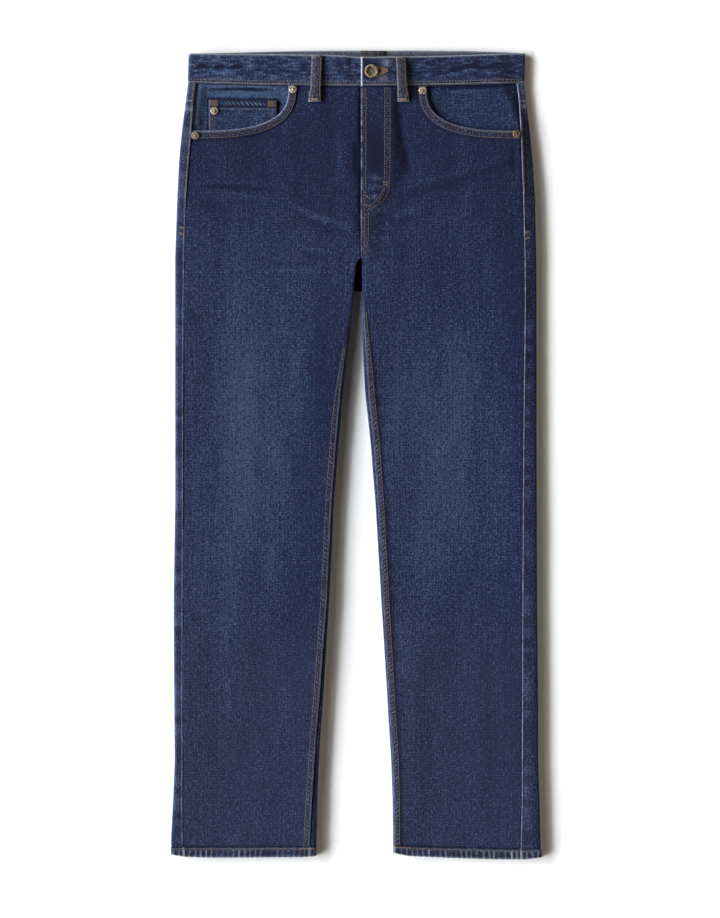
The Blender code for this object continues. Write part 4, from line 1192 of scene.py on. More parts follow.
def front_patches(side):
    """Two patches. The upper one runs from the pocket's mouth to the fly and to a level line, the
    lower one from there to the hem."""
    downs = leg_downs(side)
    if side is RIGHT:
        lap = np.interp(downs, [LAP_ENDS, LAP_OUT], [FLY_LAP, -GAP / 2])
        lap = np.where(downs > LAP_OUT, -GAP / 2, lap)
    else:
        lap = -GAP / 2 * rise(downs, LAP_OUT, CROTCH)
    start, end = side_girth(side, downs) + GAP / 2, inseam_girth(side, downs) + lap
    lower = spread(start, end, 30)

    split_out = skin(side, lower[0], np.full(lower.shape[1], BLOCK_SPLIT))[0][::-1]
    centre_downs = np.linspace(WAIST_SEAM + GAP / 2, BLOCK_SPLIT, 110)[:-1]
    far_out = np.concatenate([np.full(len(centre_downs), split_out[0]), split_out])
    far_down = np.concatenate([centre_downs, np.full(len(split_out), BLOCK_SPLIT)])
    near_line = even_steps(mouth(side, np.linspace(0, 1, 400)), len(far_out))
    run = np.stack([far_out, far_down], axis=-1) - near_line
    length = np.linalg.norm(run, axis=1)
    share = (spread(np.zeros_like(length), length, 56, MOUTH_STEPS) / length[:, None])[..., None]
    spots = near_line[:, None] + run[:, None] * share
    out, down = spots[..., 0], spots[..., 1]
    side_out = seam_out(side, down) - GAP / 2
    ends = np.array([MOUTH_END, BLOCK_SPLIT])
    chord = np.interp(down, ends, seam_out(side, ends) - GAP / 2)
    across = np.clip((far_out - far_out[0]) / (far_out[-1] - far_out[0]), 0, 1)[:, None]
    out = out + (side_out - chord) * across**3
    return [(girth_at(side, out, down), down), level_rows(lower, downs)]


def back_patches(side):
    """From the yoke seam to the hem: round the outer fold, the underside and the inner fold."""
    lower = leg_downs(side)
    upper = np.linspace(0, 1, 38)[:-1]
    turn = np.linspace(1, -1, 9)

    def columns(downs, end):
        seam, radius = side_girth(side, downs) - GAP / 2, fold_radius(downs)
        quarter = radius * PI / 2
        near = seam[:, None] - SEAM_STEPS[:7] * np.minimum(1, (seam - quarter) / 6)[:, None]
        bend = quarter[:, None] * turn
        flat = spread(-quarter - 2.0, end, 34, np.array([0.0]), SEAM_STEPS[:6] * 1.6)
        return np.concatenate([near, bend, flat], axis=1)

    downs = np.concatenate([YOKE_AT_SIDE + GAP / 2 + (BLOCK_SPLIT - YOKE_AT_SIDE - GAP / 2) * upper, lower])
    total, inner = full_girth(side, downs), inseam_girth(side, downs)
    legs = rise(downs, CROTCH, CROTCH + 1)
    end = -(total + (total - inner - GAP / 2) * legs - (1 - legs) * GAP / 2)
    girth = columns(downs, end)
    down = np.broadcast_to(downs[:, None], girth.shape).copy()
    out = skin(side, girth, down)[0]
    first = yoke_line(side, out) + GAP / 2
    under = rise(-girth, 0, 3)
    top = (YOKE_AT_SIDE + GAP / 2) * (1 - under) + first * under
    share = np.clip((down - YOKE_AT_SIDE - GAP / 2) / (BLOCK_SPLIT - YOKE_AT_SIDE - GAP / 2), 0, 1)
    down = np.where(down < BLOCK_SPLIT, top + (BLOCK_SPLIT - top) * share, down)
    start = -fold_radius(down) * PI / 2 - 2.0
    stretch = (GAP / 2 - full_girth(side, down) - start) / (end[:, None] - start)
    girth = np.where((girth < start) & (down < BLOCK_SPLIT), start + (girth - start) * stretch, girth)
    return [(girth, down)]


@given_first
def gusset_surface(side, out, down):
    """The back's seam allowance, which lies flat between the legs just below the crotch. Its colour is
    painted near black, as deep shade between the legs.
    """
    edge = GUSSET_ENDS - down
    points = place(side, out, down, 1.3 - 0.2 * hill(edge, 1.5), -1)
    shade = -1.6 + 0.3 * hill(out, 1.2) + 0.3 * hill(edge, 1.0)
    return points, all_facing(points, UP), marked(shade=shade, sewn=0.25)


def gusset_patches(side):
    rows = np.linspace(CROTCH + 1, GUSSET_ENDS, 31)
    share = np.linspace(0, 1, 8)
    columns = (section(side, "inner", rows) + 0.9)[:, None] * share
    downs = rows[:, None] - (1.5 * share * rise(rows[:, None], CROTCH, GUSSET_ENDS))
    return [(columns, downs)]


def yoke_patches(side):
    turn = np.linspace(1, -1, 9)
    at_side = np.array([45.0])
    seam, quarter = side_girth(side, at_side) - GAP / 2, fold_radius(at_side) * PI / 2
    flat = np.linspace(-quarter[0] - 2, -full_girth(side, at_side)[0] + GAP / 2, 70)
    girth = np.concatenate([np.linspace(seam[0], quarter[0], 6)[:-1], quarter[0] * turn, flat])
    share = np.linspace(0, 1, 24)[:, None]
    start = WAIST_SEAM + GAP / 2
    out = skin(side, girth, np.full(girth.shape, 45.0))[0]
    under = rise(-girth, 0, 3)
    lower = (YOKE_AT_SIDE * (1 - under) + yoke_line(side, out) * under) - GAP / 2
    down = start + (lower - start) * share
    grown = section(side, "side_seam", down) - section(side, "side_seam", 45.0)
    grown = grown * np.clip(girth / seam[0], 0, 1)
    shrink = np.where(girth < 0, full_girth(side, down) / full_girth(side, 45.0), 1.0)
    return [(np.broadcast_to(girth, down.shape) * shrink + grown, down)]


def hem_patches(side):
    top = side.hem_low - HEM_HEIGHT
    downs = top + HEM_STEPS
    shares = np.concatenate([-np.linspace(0, 1, 70)[:0:-1], np.linspace(0, 1, 170)])
    return [level_rows(full_girth(side, downs)[:, None] * shares, downs)]


def band_patches(side):
    whole, quarter = full_girth(side, BAND_STEPS), fold_radius(BAND_STEPS) * PI / 2
    end = whole + (UNDERLAP if side is RIGHT else 0.0)
    front = spread(quarter, end, 96, np.array([0.0]), SEAM_STEPS[:8])
    back = -quarter[:, None] - (whole - quarter)[:, None] * np.linspace(1, 0, 60)
    girth = np.concatenate([back, quarter[:, None] * np.linspace(-1, 1, 11)[1:-1], front], axis=1)
    return [level_rows(girth, BAND_STEPS)]


def even_patch(columns, rows):
    return [level_rows(np.broadcast_to(columns, (len(rows), len(columns))), rows)]


def facing_patches(side):
    rows = np.concatenate([np.linspace(WAIST_SEAM + GAP, 50, 10), np.linspace(52, FACING_ENDS, 36)])
    edge = seam_out(side, rows) + 3.0
    columns = spread(edge, np.full(len(rows), FACING_INNER), 52, SEAM_STEPS[:6], SEAM_STEPS[:3])
    return [level_rows(columns, rows)]


def coin_patches():
    columns = spread([COIN_OUT[0]], [COIN_OUT[1]], 48)[0]
    rows = np.concatenate([COIN_DOWN[0] + COIN_STEPS, np.linspace(69, COIN_DOWN[1], 34)])
    return even_patch(columns, rows)


def back_pocket_patches():
    below, half = (list(column) for column in zip(*BACK_POCKET))
    hem = np.concatenate([[0, 0.6, 1.4, 2.4, 3.6], np.linspace(5, 12, 5), [13, 14, 15]])
    rows = np.concatenate([hem, np.linspace(17, 143.6, 60)])
    width = np.interp(rows, below, half)[:, None]
    edge = -1 + POCKET_EDGE_STEPS
    steps = np.concatenate([edge, np.linspace(-0.84, 0.84, 34), -edge[::-1]])
    return [level_rows(BACK_POCKET_OUT + width * steps, BACK_POCKET_DOWN + rows)]


def loop_patches(first, last):
    columns = LOOP_HALF * np.concatenate([[-1, -0.93, -0.84], np.linspace(-0.72, 0.72, 9), [0.84, 0.93, 1]])
    middle, foot = np.linspace(first + 2.2, last - 7, 34), np.linspace(last - 6, last, 13)
    rows = np.concatenate([[first, first + 0.5, first + 1.2], middle, foot])
    return even_patch(columns, rows)


# Meshes
def put_attribute(mesh, name, values):
    mesh.attributes.new(name, "FLOAT", "POINT").data.foreach_set("value", values.astype(np.float32))


def new_object(name, data):
    made = bpy.data.objects.new(name, data)
    bpy.context.scene.collection.objects.link(made)
    return made


def add_mesh(name, points, faces, finish):
    """An object at the origin from points in millimetres and faces as rows of corner numbers."""
    mesh = bpy.data.meshes.new(name)
    mesh.from_pydata((points * MM).tolist(), [], faces)
    mesh.polygons.foreach_set("use_smooth", np.ones(len(mesh.polygons), bool))
    mesh.materials.append(finish)
    mesh.update()
    made = new_object(name, mesh)
    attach(made, "root")
    return made


def outward_cells(spots, way):
    """A patch's cells, each as its four corners' numbers, turned to face outwards."""
    index = np.arange(spots.shape[0] * spots.shape[1]).reshape(spots.shape[:2])
    corners = [index[:-1, :-1], index[:-1, 1:], index[1:, 1:], index[1:, :-1]]
    cells = np.stack(corners, axis=-1).reshape(-1, 4)
    flat, outside = spots.reshape(-1, 3), way.reshape(-1, 3)
    turn = np.cross(flat[cells[:, 2]] - flat[cells[:, 0]], flat[cells[:, 3]] - flat[cells[:, 1]])
    return cells[:, ::-1] if (turn * outside[cells[:, 0]]).sum() < 0 else cells


def weld(points, cells):
    """Makes points that coincide one. Returns which points are kept, the faces numbered by them, and
    the old number of each face's corners. Cells that shrink to a line are left out."""
    _, first, new = np.unique(np.round(points, 3), axis=0, return_index=True, return_inverse=True)
    welded = new.reshape(-1)[cells]
    whole = (welded != np.roll(welded, 1, axis=1)).sum(1) >= 3
    faces, loops = [], []
    for corners, spots in zip(welded[whole].tolist(), cells[whole].tolist()):
        kept = [k for k in range(4) if corners[k] != corners[k - 1]]
        faces.append([corners[k] for k in kept])
        loops += [spots[k] for k in kept]
    return first, faces, loops


def sewn_cloth(name, patches, finish, thickness):
    """One cloth piece. Each patch is a surface function with its two grids of places. Solidify gives
    the wall its inner side. The UV map holds the places in metres, so that the weave follows the
    grain."""
    points, marks, places, cells = [], [], [], []
    start = 0
    for surface, across, down in patches:
        spots, way, marking = surface(across, down)
        cells.append(start + outward_cells(spots, way))
        points.append(spots.reshape(-1, 3))
        marks.append(marking.reshape(4, -1))
        places.append(np.stack([across, -down], axis=-1).reshape(-1, 2))
        start += across.size
    points, places, marks = np.concatenate(points), np.concatenate(places), np.concatenate(marks, axis=1)
    first, faces, loops = weld(points, np.concatenate(cells))
    made = add_mesh(name, points[first], faces, finish)
    layer = made.data.uv_layers.new(name="grain")
    layer.data.foreach_set("uv", (places[loops] * MM).astype(np.float32).ravel())
    put_attribute(made.data, "shade", marks[SHADE][first])
    put_attribute(made.data, "worn", np.clip(marks[WORN][first], 0, 1))
    put_attribute(made.data, "sewn", np.clip(marks[SEWN][first], 0, 1))
    wall = made.modifiers.new("wall", "SOLIDIFY")
    wall.thickness = thickness * MM
    wall.offset = -1
    return made


def row_on(surface, across, down):
    """A row's places on a surface: points and outward directions. `across` or `down` may be one number."""
    points, ways, _ = surface(*np.broadcast_arrays(np.asarray(across, float), np.asarray(down, float)))
    return Row(points, ways)


def row_at(surface, side, spots):
    """A row through spots (out, down) of the front."""
    return row_on(surface, girth_at(side, *spots.T), spots[:, 1])


def thread_faces(first):
    """A stitch's faces, its points counted from `first`: three bands of six, and its two ends."""
    faces = []
    for a in (first, first + 6, first + 12):
        faces += [(a + k, a + (k + 1) % 6, a + 6 + (k + 1) % 6, a + 6 + k) for k in range(6)]
    return [*faces, tuple(first + k for k in range(5, -1, -1)), tuple(first + 18 + k for k in range(6))]


def sew(name, rows, finish, pitch=3.1, length=2.5, radius=0.36, seed=1, across=False, colour=0.0):
    """Stitches along the rows, as one mesh. Each is a short thread of four rings, humped in the
    middle and sunk at its ends. Across, they lie side by side over the row, as in a bar tack."""
    random = np.random.default_rng(seed)
    ring = np.arange(6) * PI / 3
    stations = np.array([-1.0, -0.55, 0.55, 1.0])
    thick = np.array([0.55, 1.0, 1.0, 0.55])
    points, faces, tints = [], [], []
    for row in rows:
        lengths = lengths_along(row.points)
        count = max(1, int(lengths[-1] / pitch))
        at = (np.arange(count) + 0.5) * lengths[-1] / count
        before, middle, after = (sampled(row.points, lengths, at + step) for step in (-0.6, 0, 0.6))
        way = after - before
        way /= np.linalg.norm(way, axis=1, keepdims=True)
        up = sampled(row.ways, lengths, at)
        up = up - (up * way).sum(1, keepdims=True) * way
        up /= np.linalg.norm(up, axis=1, keepdims=True)
        cross = np.cross(way, up)
        if across:
            way, cross = cross, -way
        turn = random.normal(0, 0.07, (count, 1))
        way, cross = way + turn * cross, cross - turn * way
        half = length / 2 * random.uniform(0.86, 1.1, (count, 1, 1, 1))
        hump = 0.30 * radius - radius * stations**2 * np.array([1, 0.3, 0.3, 1])
        spots = middle[:, None, None] + way[:, None, None] * half * stations[:, None, None]
        rim = thick[:, None, None] * radius
        spots = spots + cross[:, None, None] * rim * np.cos(ring)[:, None]
        spots = spots + up[:, None, None] * (rim * np.sin(ring)[:, None] * 0.8 + hump[:, None, None])
        spots[..., 2] = np.maximum(spots[..., 2], 0.04)
        base = sum(len(p) for p in points) + 24 * np.arange(count)
        points.append(spots.reshape(-1, 3))
        tints.append(np.repeat(colour + random.uniform(-0.22, 0.22, count), 24))
        for first in base.tolist():
            faces += thread_faces(first)
    made = add_mesh(name, np.concatenate(points), faces, finish)
    put_attribute(made.data, "tint", np.clip(np.concatenate(tints), -1, 1))
    return made


def outward(made):
    """Turns every closed part of a mesh to face out."""
    shape = bmesh.new()
    shape.from_mesh(made.data)
    bmesh.ops.recalc_face_normals(shape, faces=shape.faces)
    shape.to_mesh(made.data)
    shape.free()


def turned(name, centre, profile, finish, worn_at):
    """A solid of revolution about an upright line through `centre`. The profile is (radius, height)
    from the top's middle to the bottom's; `worn_at` says how rubbed each of its points is."""
    steps = 56
    profile, rubbed = np.asarray(profile, float), np.asarray(worn_at, float)
    rings, turn = profile[1:-1], np.arange(steps) * 2 * PI / steps
    circle = np.stack([np.cos(turn), np.sin(turn)], axis=-1)
    heights = np.repeat(rings[:, None, 1:], steps, axis=1)
    points = np.concatenate([rings[:, None, :1] * circle, heights], axis=-1)
    points = np.concatenate([points.reshape(-1, 3), [[0, 0, profile[0, 1]], [0, 0, profile[-1, 1]]]])
    points += centre
    count = len(rings) * steps
    faces = []
    for k in range(steps):
        after = (k + 1) % steps
        faces.append((count, k, after))
        for a in range(0, count - steps, steps):
            faces.append((a + k, a + steps + k, a + steps + after, a + after))
        faces.append((count + 1, count - steps + after, count - steps + k))
    made = add_mesh(name, points, faces, finish)
    outward(made)
    tints = np.concatenate([np.repeat(rubbed[1:-1], steps), [rubbed[0], rubbed[-1]]])
    put_attribute(made.data, "rubbed", tints)
    return made


# Materials
def add(tree, kind, inputs=None, **settings):
    """A shader node with its settings and its inputs, each a value or another node's output."""
    made = tree.nodes.new("ShaderNode" + kind)
    for key, value in settings.items():
        setattr(made, key, value)
    for key, value in (inputs or {}).items():
        if isinstance(value, bpy.types.NodeSocket):
            tree.links.new(value, made.inputs[key])
        else:
            made.inputs[key].default_value = value
    return made


def maths(tree, operation, *values, clamp=False):
    return add(tree, "Math", dict(enumerate(values)), operation=operation, use_clamp=clamp).outputs[0]


def mixed(tree, share, first, second):
    made = add(tree, "Mix", {0: share, 6: first, 7: second}, data_type="RGBA")
    return made.outputs[2]


def noise(tree, places, scale, detail=2.0, roughness=0.5):
    """Noise from -0.5 to 0.5, its places first multiplied by `scale` in each direction."""
    scaled = add(tree, "VectorMath", {0: places, 1: scale}, operation="MULTIPLY").outputs[0]
    made = add(tree, "TexNoise", {"Vector": scaled, "Scale": 1.0, "Detail": detail, "Roughness": roughness})
    return maths(tree, "SUBTRACT", made.outputs[0], 0.5)


def new_group(name, inputs, outputs):
    """A shader node group with its sockets, (name, kind, value)."""
    group = bpy.data.node_groups.new(name, "ShaderNodeTree")
    for label, kind, value in inputs:
        socket = group.interface.new_socket(label, in_out="INPUT", socket_type="NodeSocket" + kind)
        if value is not None:
            socket.default_value = value
    for label, kind in outputs:
        group.interface.new_socket(label, in_out="OUTPUT", socket_type="NodeSocket" + kind)
    return group, group.nodes.new("NodeGroupInput").outputs, group.nodes.new("NodeGroupOutput")


def twill_group():
    """Indigo twill. Its colour goes from dark to light with the shade, broken by short slubs along
    and across the grain, a faint check, specks, mottles and clouds. It drifts between violet and
    teal, turns to tan and dark grit where it is sewn, and turns pale where it is worn."""
    group, given, result = new_group(
        "indigo_twill",
        [("Grain", "Vector", None), ("Shade", "Float", 0.0), ("Worn", "Float", 0.0), ("Sewn", "Float", 0.0),
         ("Dark", "Color", None), ("Middle", "Color", None), ("Light", "Color", None),
         ("Pale", "Color", None), ("Weave", "Float", 1.0), ("Mottle", "Float", 0.0)],
        [("Color", "Color"), ("Roughness", "Float"), ("Height", "Float")],
    )
    places = add(group, "VectorMath", {0: given["Grain"], "Scale": 1000.0}, operation="SCALE").outputs[0]
    calc = partial(maths, group)

    def grains(wide, long, detail=2.0, roughness=0.6):
        """Noise whose grains are so many millimetres wide and long."""
        return noise(group, places, (1 / wide, 1 / long, 0), detail, roughness)

    warp, weft, speck = grains(1.2, 5.5), grains(5.0, 1.2), grains(1.65, 1.7, 1.0)
    streak, cloud, mottle = grains(3.0, 60.0), grains(24.0, 34.0, 3.0), grains(14.0, 3.6)
    drift, grit = grains(13.0, 15.0, 3.0, 0.7), grains(1.8, 2.0, 2.0, 0.7)
    split = add(group, "SeparateXYZ", {0: places}).outputs
    slope = calc("ADD", split[0], calc("MULTIPLY", split[1], 0.62))
    line = calc("SINE", calc("MULTIPLY", slope, 2 * PI / 0.9))
    slubs = calc("ADD", calc("MULTIPLY", warp, 4.4), calc("MULTIPLY", weft, 3.6))
    slubs = calc("MULTIPLY_ADD", streak, 1.5, slubs)
    for axis, threads in ((0, warp), (1, weft)):
        phase = calc("MULTIPLY_ADD", threads, 5.0, calc("MULTIPLY", split[axis], 2 * PI / 3.7))
        slubs = calc("MULTIPLY_ADD", calc("SINE", phase), 0.13, slubs)
    fine = calc("MULTIPLY", calc("MULTIPLY_ADD", speck, 4.3, slubs), given["Weave"])
    broad = calc("MULTIPLY_ADD", cloud, 0.35, calc("MULTIPLY", mottle, given["Mottle"]))
    woven = calc("MULTIPLY_ADD", line, 0.10, calc("MULTIPLY", fine, 0.70))
    total = calc("ADD", given["Shade"], calc("ADD", broad, woven))
    lower = calc("ADD", total, 1.0, clamp=True)
    upper = calc("MULTIPLY", total, 1.0, clamp=True)
    dyed = mixed(group, upper, mixed(group, lower, given["Dark"], given["Middle"]), given["Light"])
    lean = calc("MULTIPLY_ADD", drift, 1.8, 0.5, clamp=True)
    leaning = mixed(group, lean, (1.12, 0.95, 1.01, 1), (0.87, 1.05, 1.0, 1))
    dyed = add(group, "VectorMath", {0: dyed, 1: leaning}, operation="MULTIPLY").outputs[0]
    thin = calc("MULTIPLY_ADD", fine, 0.28, 1.0)
    dyed = add(group, "VectorMath", {0: dyed, "Scale": thin}, operation="SCALE").outputs[0]
    gritty = calc("MULTIPLY_ADD", given["Shade"], 0.35, 0.24)
    gritty = calc("MULTIPLY_ADD", grit, 11.0, gritty, clamp=True)
    gritty = mixed(group, gritty, paint(9, 12, 27), paint(116, 114, 126))
    dyed = mixed(group, calc("MULTIPLY", given["Sewn"], 0.72), dyed, gritty)
    bare = calc("MULTIPLY", given["Worn"], calc("MULTIPLY_ADD", fine, 0.35, 0.9), clamp=True)
    group.links.new(mixed(group, bare, dyed, given["Pale"]), result.inputs["Color"])
    rough = calc("MULTIPLY_ADD", fine, 0.04, 0.88)
    group.links.new(rough, result.inputs["Roughness"])
    height = calc("MULTIPLY_ADD", line, 0.3, calc("MULTIPLY", fine, 0.5))
    group.links.new(height, result.inputs["Height"])
    return group


def new_material(name, roughness, specular, metallic=0.0):
    made = bpy.data.materials.new(name)
    made.use_nodes = True
    shader = made.node_tree.nodes["Principled BSDF"]
    shader.inputs["Roughness"].default_value = roughness
    shader.inputs["Specular IOR Level"].default_value = specular
    shader.inputs["Metallic"].default_value = metallic
    return made, made.node_tree, shader


def attribute(tree, name):
    return add(tree, "Attribute", attribute_name=name).outputs["Fac"]


def link_bump(tree, shader, height, distance, strength=1.0):
    made = add(tree, "Bump", {"Height": height, "Distance": distance, "Strength": strength})
    tree.links.new(made.outputs[0], shader.inputs["Normal"])


def denim(name, group, dark, middle, light, pale, weave=1.0, mottle=0.0):
    made, tree, shader = new_material(name, 0.88, 0.12)
    grain = add(tree, "UVMap", uv_map="grain").outputs[0]
    values = {
        "Grain": grain, "Shade": attribute(tree, "shade"), "Worn": attribute(tree, "worn"),
        "Sewn": attribute(tree, "sewn"), "Weave": weave, "Mottle": mottle,
        "Dark": paint(*dark), "Middle": paint(*middle), "Light": paint(*light), "Pale": paint(*pale),
    }
    twill = add(tree, "Group", values, node_tree=group)
    tree.links.new(twill.outputs["Color"], shader.inputs["Base Color"])
    tree.links.new(twill.outputs["Roughness"], shader.inputs["Roughness"])
    link_bump(tree, shader, twill.outputs["Height"], 0.00022)
    return made


def spun_thread(name, plain, bright, dull):
    """Thread: its colour goes from dull through plain to bright with each stitch's tint, and a fine
    twist roughens it."""
    made, tree, shader = new_material(name, 0.62, 0.25)
    tint = attribute(tree, "tint")
    places = add(tree, "TexCoord").outputs["Object"]
    fluff = noise(tree, places, (900.0, 900.0, 900.0), 2.0)
    total = maths(tree, "ADD", tint, fluff)
    colour = mixed(tree, maths(tree, "MULTIPLY", total, 1.6, clamp=True), paint(*plain), paint(*bright))
    colour = mixed(tree, maths(tree, "MULTIPLY", total, -1.6, clamp=True), colour, paint(*dull))
    tree.links.new(colour, shader.inputs["Base Color"])
    twist = noise(tree, places, (2600.0, 2600.0, 2600.0), 2.0)
    link_bump(tree, shader, twist, 0.0001)
    return made


def old_brass():
    """Antique brass: nearly black in its recesses, rubbed to a dull gold on its rims."""
    made, tree, shader = new_material("antique_brass", 0.55, 0.5, 0.45)
    places = add(tree, "TexCoord").outputs["Object"]
    stains = noise(tree, places, (420.0, 420.0, 420.0), 4.0, 0.65)
    grime = noise(tree, places, (1500.0, 1500.0, 1500.0), 3.0)
    amount = maths(tree, "ADD", attribute(tree, "rubbed"), maths(tree, "MULTIPLY", stains, 2.6), clamp=True)
    share = maths(tree, "MULTIPLY", amount, 2.5, clamp=True)
    olive = mixed(tree, share, paint(50, 42, 34), paint(100, 84, 60))
    share = maths(tree, "MULTIPLY_ADD", amount, 2.0, -0.9, clamp=True)
    colour = mixed(tree, share, olive, paint(172, 165, 152))
    tree.links.new(colour, shader.inputs["Base Color"])
    rough = maths(tree, "MULTIPLY_ADD", amount, -0.12, 0.66)
    rough = maths(tree, "MULTIPLY_ADD", grime, 0.35, rough, clamp=True)
    tree.links.new(rough, shader.inputs["Roughness"])
    link_bump(tree, shader, maths(tree, "ADD", grime, stains), 0.00008)
    return made


def woven_patch():
    made, tree, shader = new_material("dark_patch", 0.8, 0.15)
    grain = add(tree, "UVMap", uv_map="grain").outputs[0]
    places = add(tree, "VectorMath", {0: grain, "Scale": 1000.0}, operation="SCALE").outputs[0]
    ribs = noise(tree, places, (1 / 0.7, 1 / 9.0, 0), 2.0)
    specks = noise(tree, places, (1 / 1.2, 1 / 1.2, 0), 2.0)
    amount = maths(tree, "ADD", attribute(tree, "shade"), maths(tree, "ADD", ribs, specks))
    share = maths(tree, "MULTIPLY_ADD", amount, 0.75, 0.5, clamp=True)
    colour = mixed(tree, share, paint(30, 30, 34), paint(84, 80, 84))
    tree.links.new(colour, shader.inputs["Base Color"])
    link_bump(tree, shader, maths(tree, "ADD", ribs, specks), 0.0002)
    return made


TWILL = twill_group()
# Each denim's dark, middle, light and worn colours, then how strong its weave and its mottles are
BODY_DENIM, BAND_DENIM, LOOP_DENIM, POCKET_DENIM = (
    denim("denim_" + part, TWILL, *look)
    for part, *look in (
        ("body", (8, 15, 42), (18, 29, 57), (51, 62, 90), (114, 122, 150), 0.98),
        ("band", (10, 14, 38), (26, 36, 63), (64, 80, 109), (140, 145, 158), 0.64, 3.9),
        ("loop", (10, 13, 30), (30, 36, 56), (74, 76, 90), (140, 134, 130), 0.90, 2.0),
        ("pocket", (9, 16, 41), (24, 35, 62), (58, 75, 106), (112, 124, 148), 0.76, 1.6),
    )
)
TAN = spun_thread("thread_tan", (96, 88, 84), (120, 108, 100), (69, 65, 71))
GOLD = spun_thread("thread_gold", (114, 91, 67), (151, 119, 79), (79, 67, 58))
CREAM = spun_thread("thread_cream", (126, 120, 120), (151, 144, 141), (93, 89, 95))
BRASS = old_brass()
PATCH = woven_patch()


def cloth_piece(name, patches, finish, slot, thickness=PLY):
    made = sewn_cloth(name + CLOTH, patches, finish, thickness)
    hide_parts(name)
    return made


def on(surface, patches):
    return [(surface, *patch) for patch in patches]


def make_cloth():
    """Every cloth piece. Returns the waistband."""
    for side in SIDES:
        backs, loops = back_surface(side), loop_patches(LOOP_TOP, LOOP_FOOT)
        hidden_loop = on(back_loop_surface(side, SIDE_LOOP_OUT), loop_patches(*BACK_LOOP))
        seat = on(backs, back_patches(side)) + on(gusset_surface(side), gusset_patches(side))
        pocket = on(back_pocket_surface(side), back_pocket_patches())
        for name, patches, *look in (
            ("front_panel", on(front_surface(side), front_patches(side)), BODY_DENIM, "denim"),
            ("back_panel", seat, BODY_DENIM, "denim"),
            ("yoke", on(backs, yoke_patches(side)), BODY_DENIM, "denim"),
            ("hem", on(hem_surface(side), hem_patches(side)), BAND_DENIM, "denim_band", HEM_PLY),
            ("pocket_facing", on(facing_surface(side), facing_patches(side)), POCKET_DENIM, "denim"),
            ("back_pocket", pocket, BODY_DENIM, "denim", UNDER_PLY),
            ("belt_loop_front", on(front_loop_surface(side), loops), LOOP_DENIM, "denim_band", LOOP_PLY),
            ("belt_loop_side", hidden_loop, BAND_DENIM, "denim_band", UNDER_PLY),
        ):
            cloth_piece(f"{name}_{side.name}", patches, *look)
    middle_loop = on(back_loop_surface(LEFT, 0.0), loop_patches(*BACK_LOOP))
    cloth_piece("belt_loop_back", middle_loop, BAND_DENIM, "denim_band", UNDER_PLY)
    cloth_piece("coin_pocket", on(coin_surface, coin_patches()), POCKET_DENIM, "denim")
    patches = [patch for side in SIDES for patch in on(band_surface(side), band_patches(side))]
    band = cloth_piece("waistband", patches, BAND_DENIM, "denim_band", BAND_PLY)
    label = even_patch(np.linspace(*LABEL_OUT, 41), np.linspace(*LABEL_DOWN, 25))
    cloth_piece("inner_label", on(label_surface, label), PATCH, "label", LABEL_PLY)
    return band


def make_metal():
    """The button and the rivets, each a turned profile at the frame's place for it."""
    low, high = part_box("waist_button")
    x, y, seat = (low.x + high.x) / 2 / MM, (low.y + high.y) / 2 / MM, high.z / MM - BUTTON_HEAD
    profile = [
        (0, 2.05), (1.6, 2.1), (2.4, 1.9), (3.2, 2.05), (4.4, 1.95), (5.3, 2.15), (6.2, 2.55), (7.0, 2.7),
        (7.7, 2.55), (8.3, 2.05), (8.5, 1.5), (8.3, 1.0), (7.6, 0.6), (5.0, 0.35), (3.4, 0.2), (2.4, -0.2),
        (2.4, -1.2), (0, -1.2),
    ]
    worn = [0.36, 0.40, 0.20, 0.36, 0.20, 0.30, 0.40, 0.46, 0.40, 0.20, 0.0, 0.0, 0, 0, 0, 0, 0, 0]
    button = turned("waist_button_metal", (x, y, seat), profile, BRASS, worn)
    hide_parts("waist_button")
    cap = [
        (0, 1.25), (0.7, 1.22), (1.25, 1.1), (1.6, 0.9), (2.1, 0.72), (3.0, 0.76), (3.9, 0.86), (4.5, 0.72),
        (4.9, 0.35), (5.0, 0.0), (4.6, -0.25), (0, -0.25),
    ]
    rubbed = [0.50, 0.56, 0.60, 0.56, 0.56, 0.66, 0.78, 0.66, 0.3, 0.0, 0, 0]
    for rivet in RIVETS:
        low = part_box(rivet.name)[0]
        middle = sum(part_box(rivet.name), Vector()) / 2
        rubs = np.array(rubbed) * {"rivet_right_lower": 0.75, "rivet_left_lower": 0.35}.get(rivet.name, 1.0)
        made = turned(rivet.name + "_metal", (middle.x / MM, middle.y / MM, low.z / MM), cap, BRASS, rubs)
        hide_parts(rivet.name)


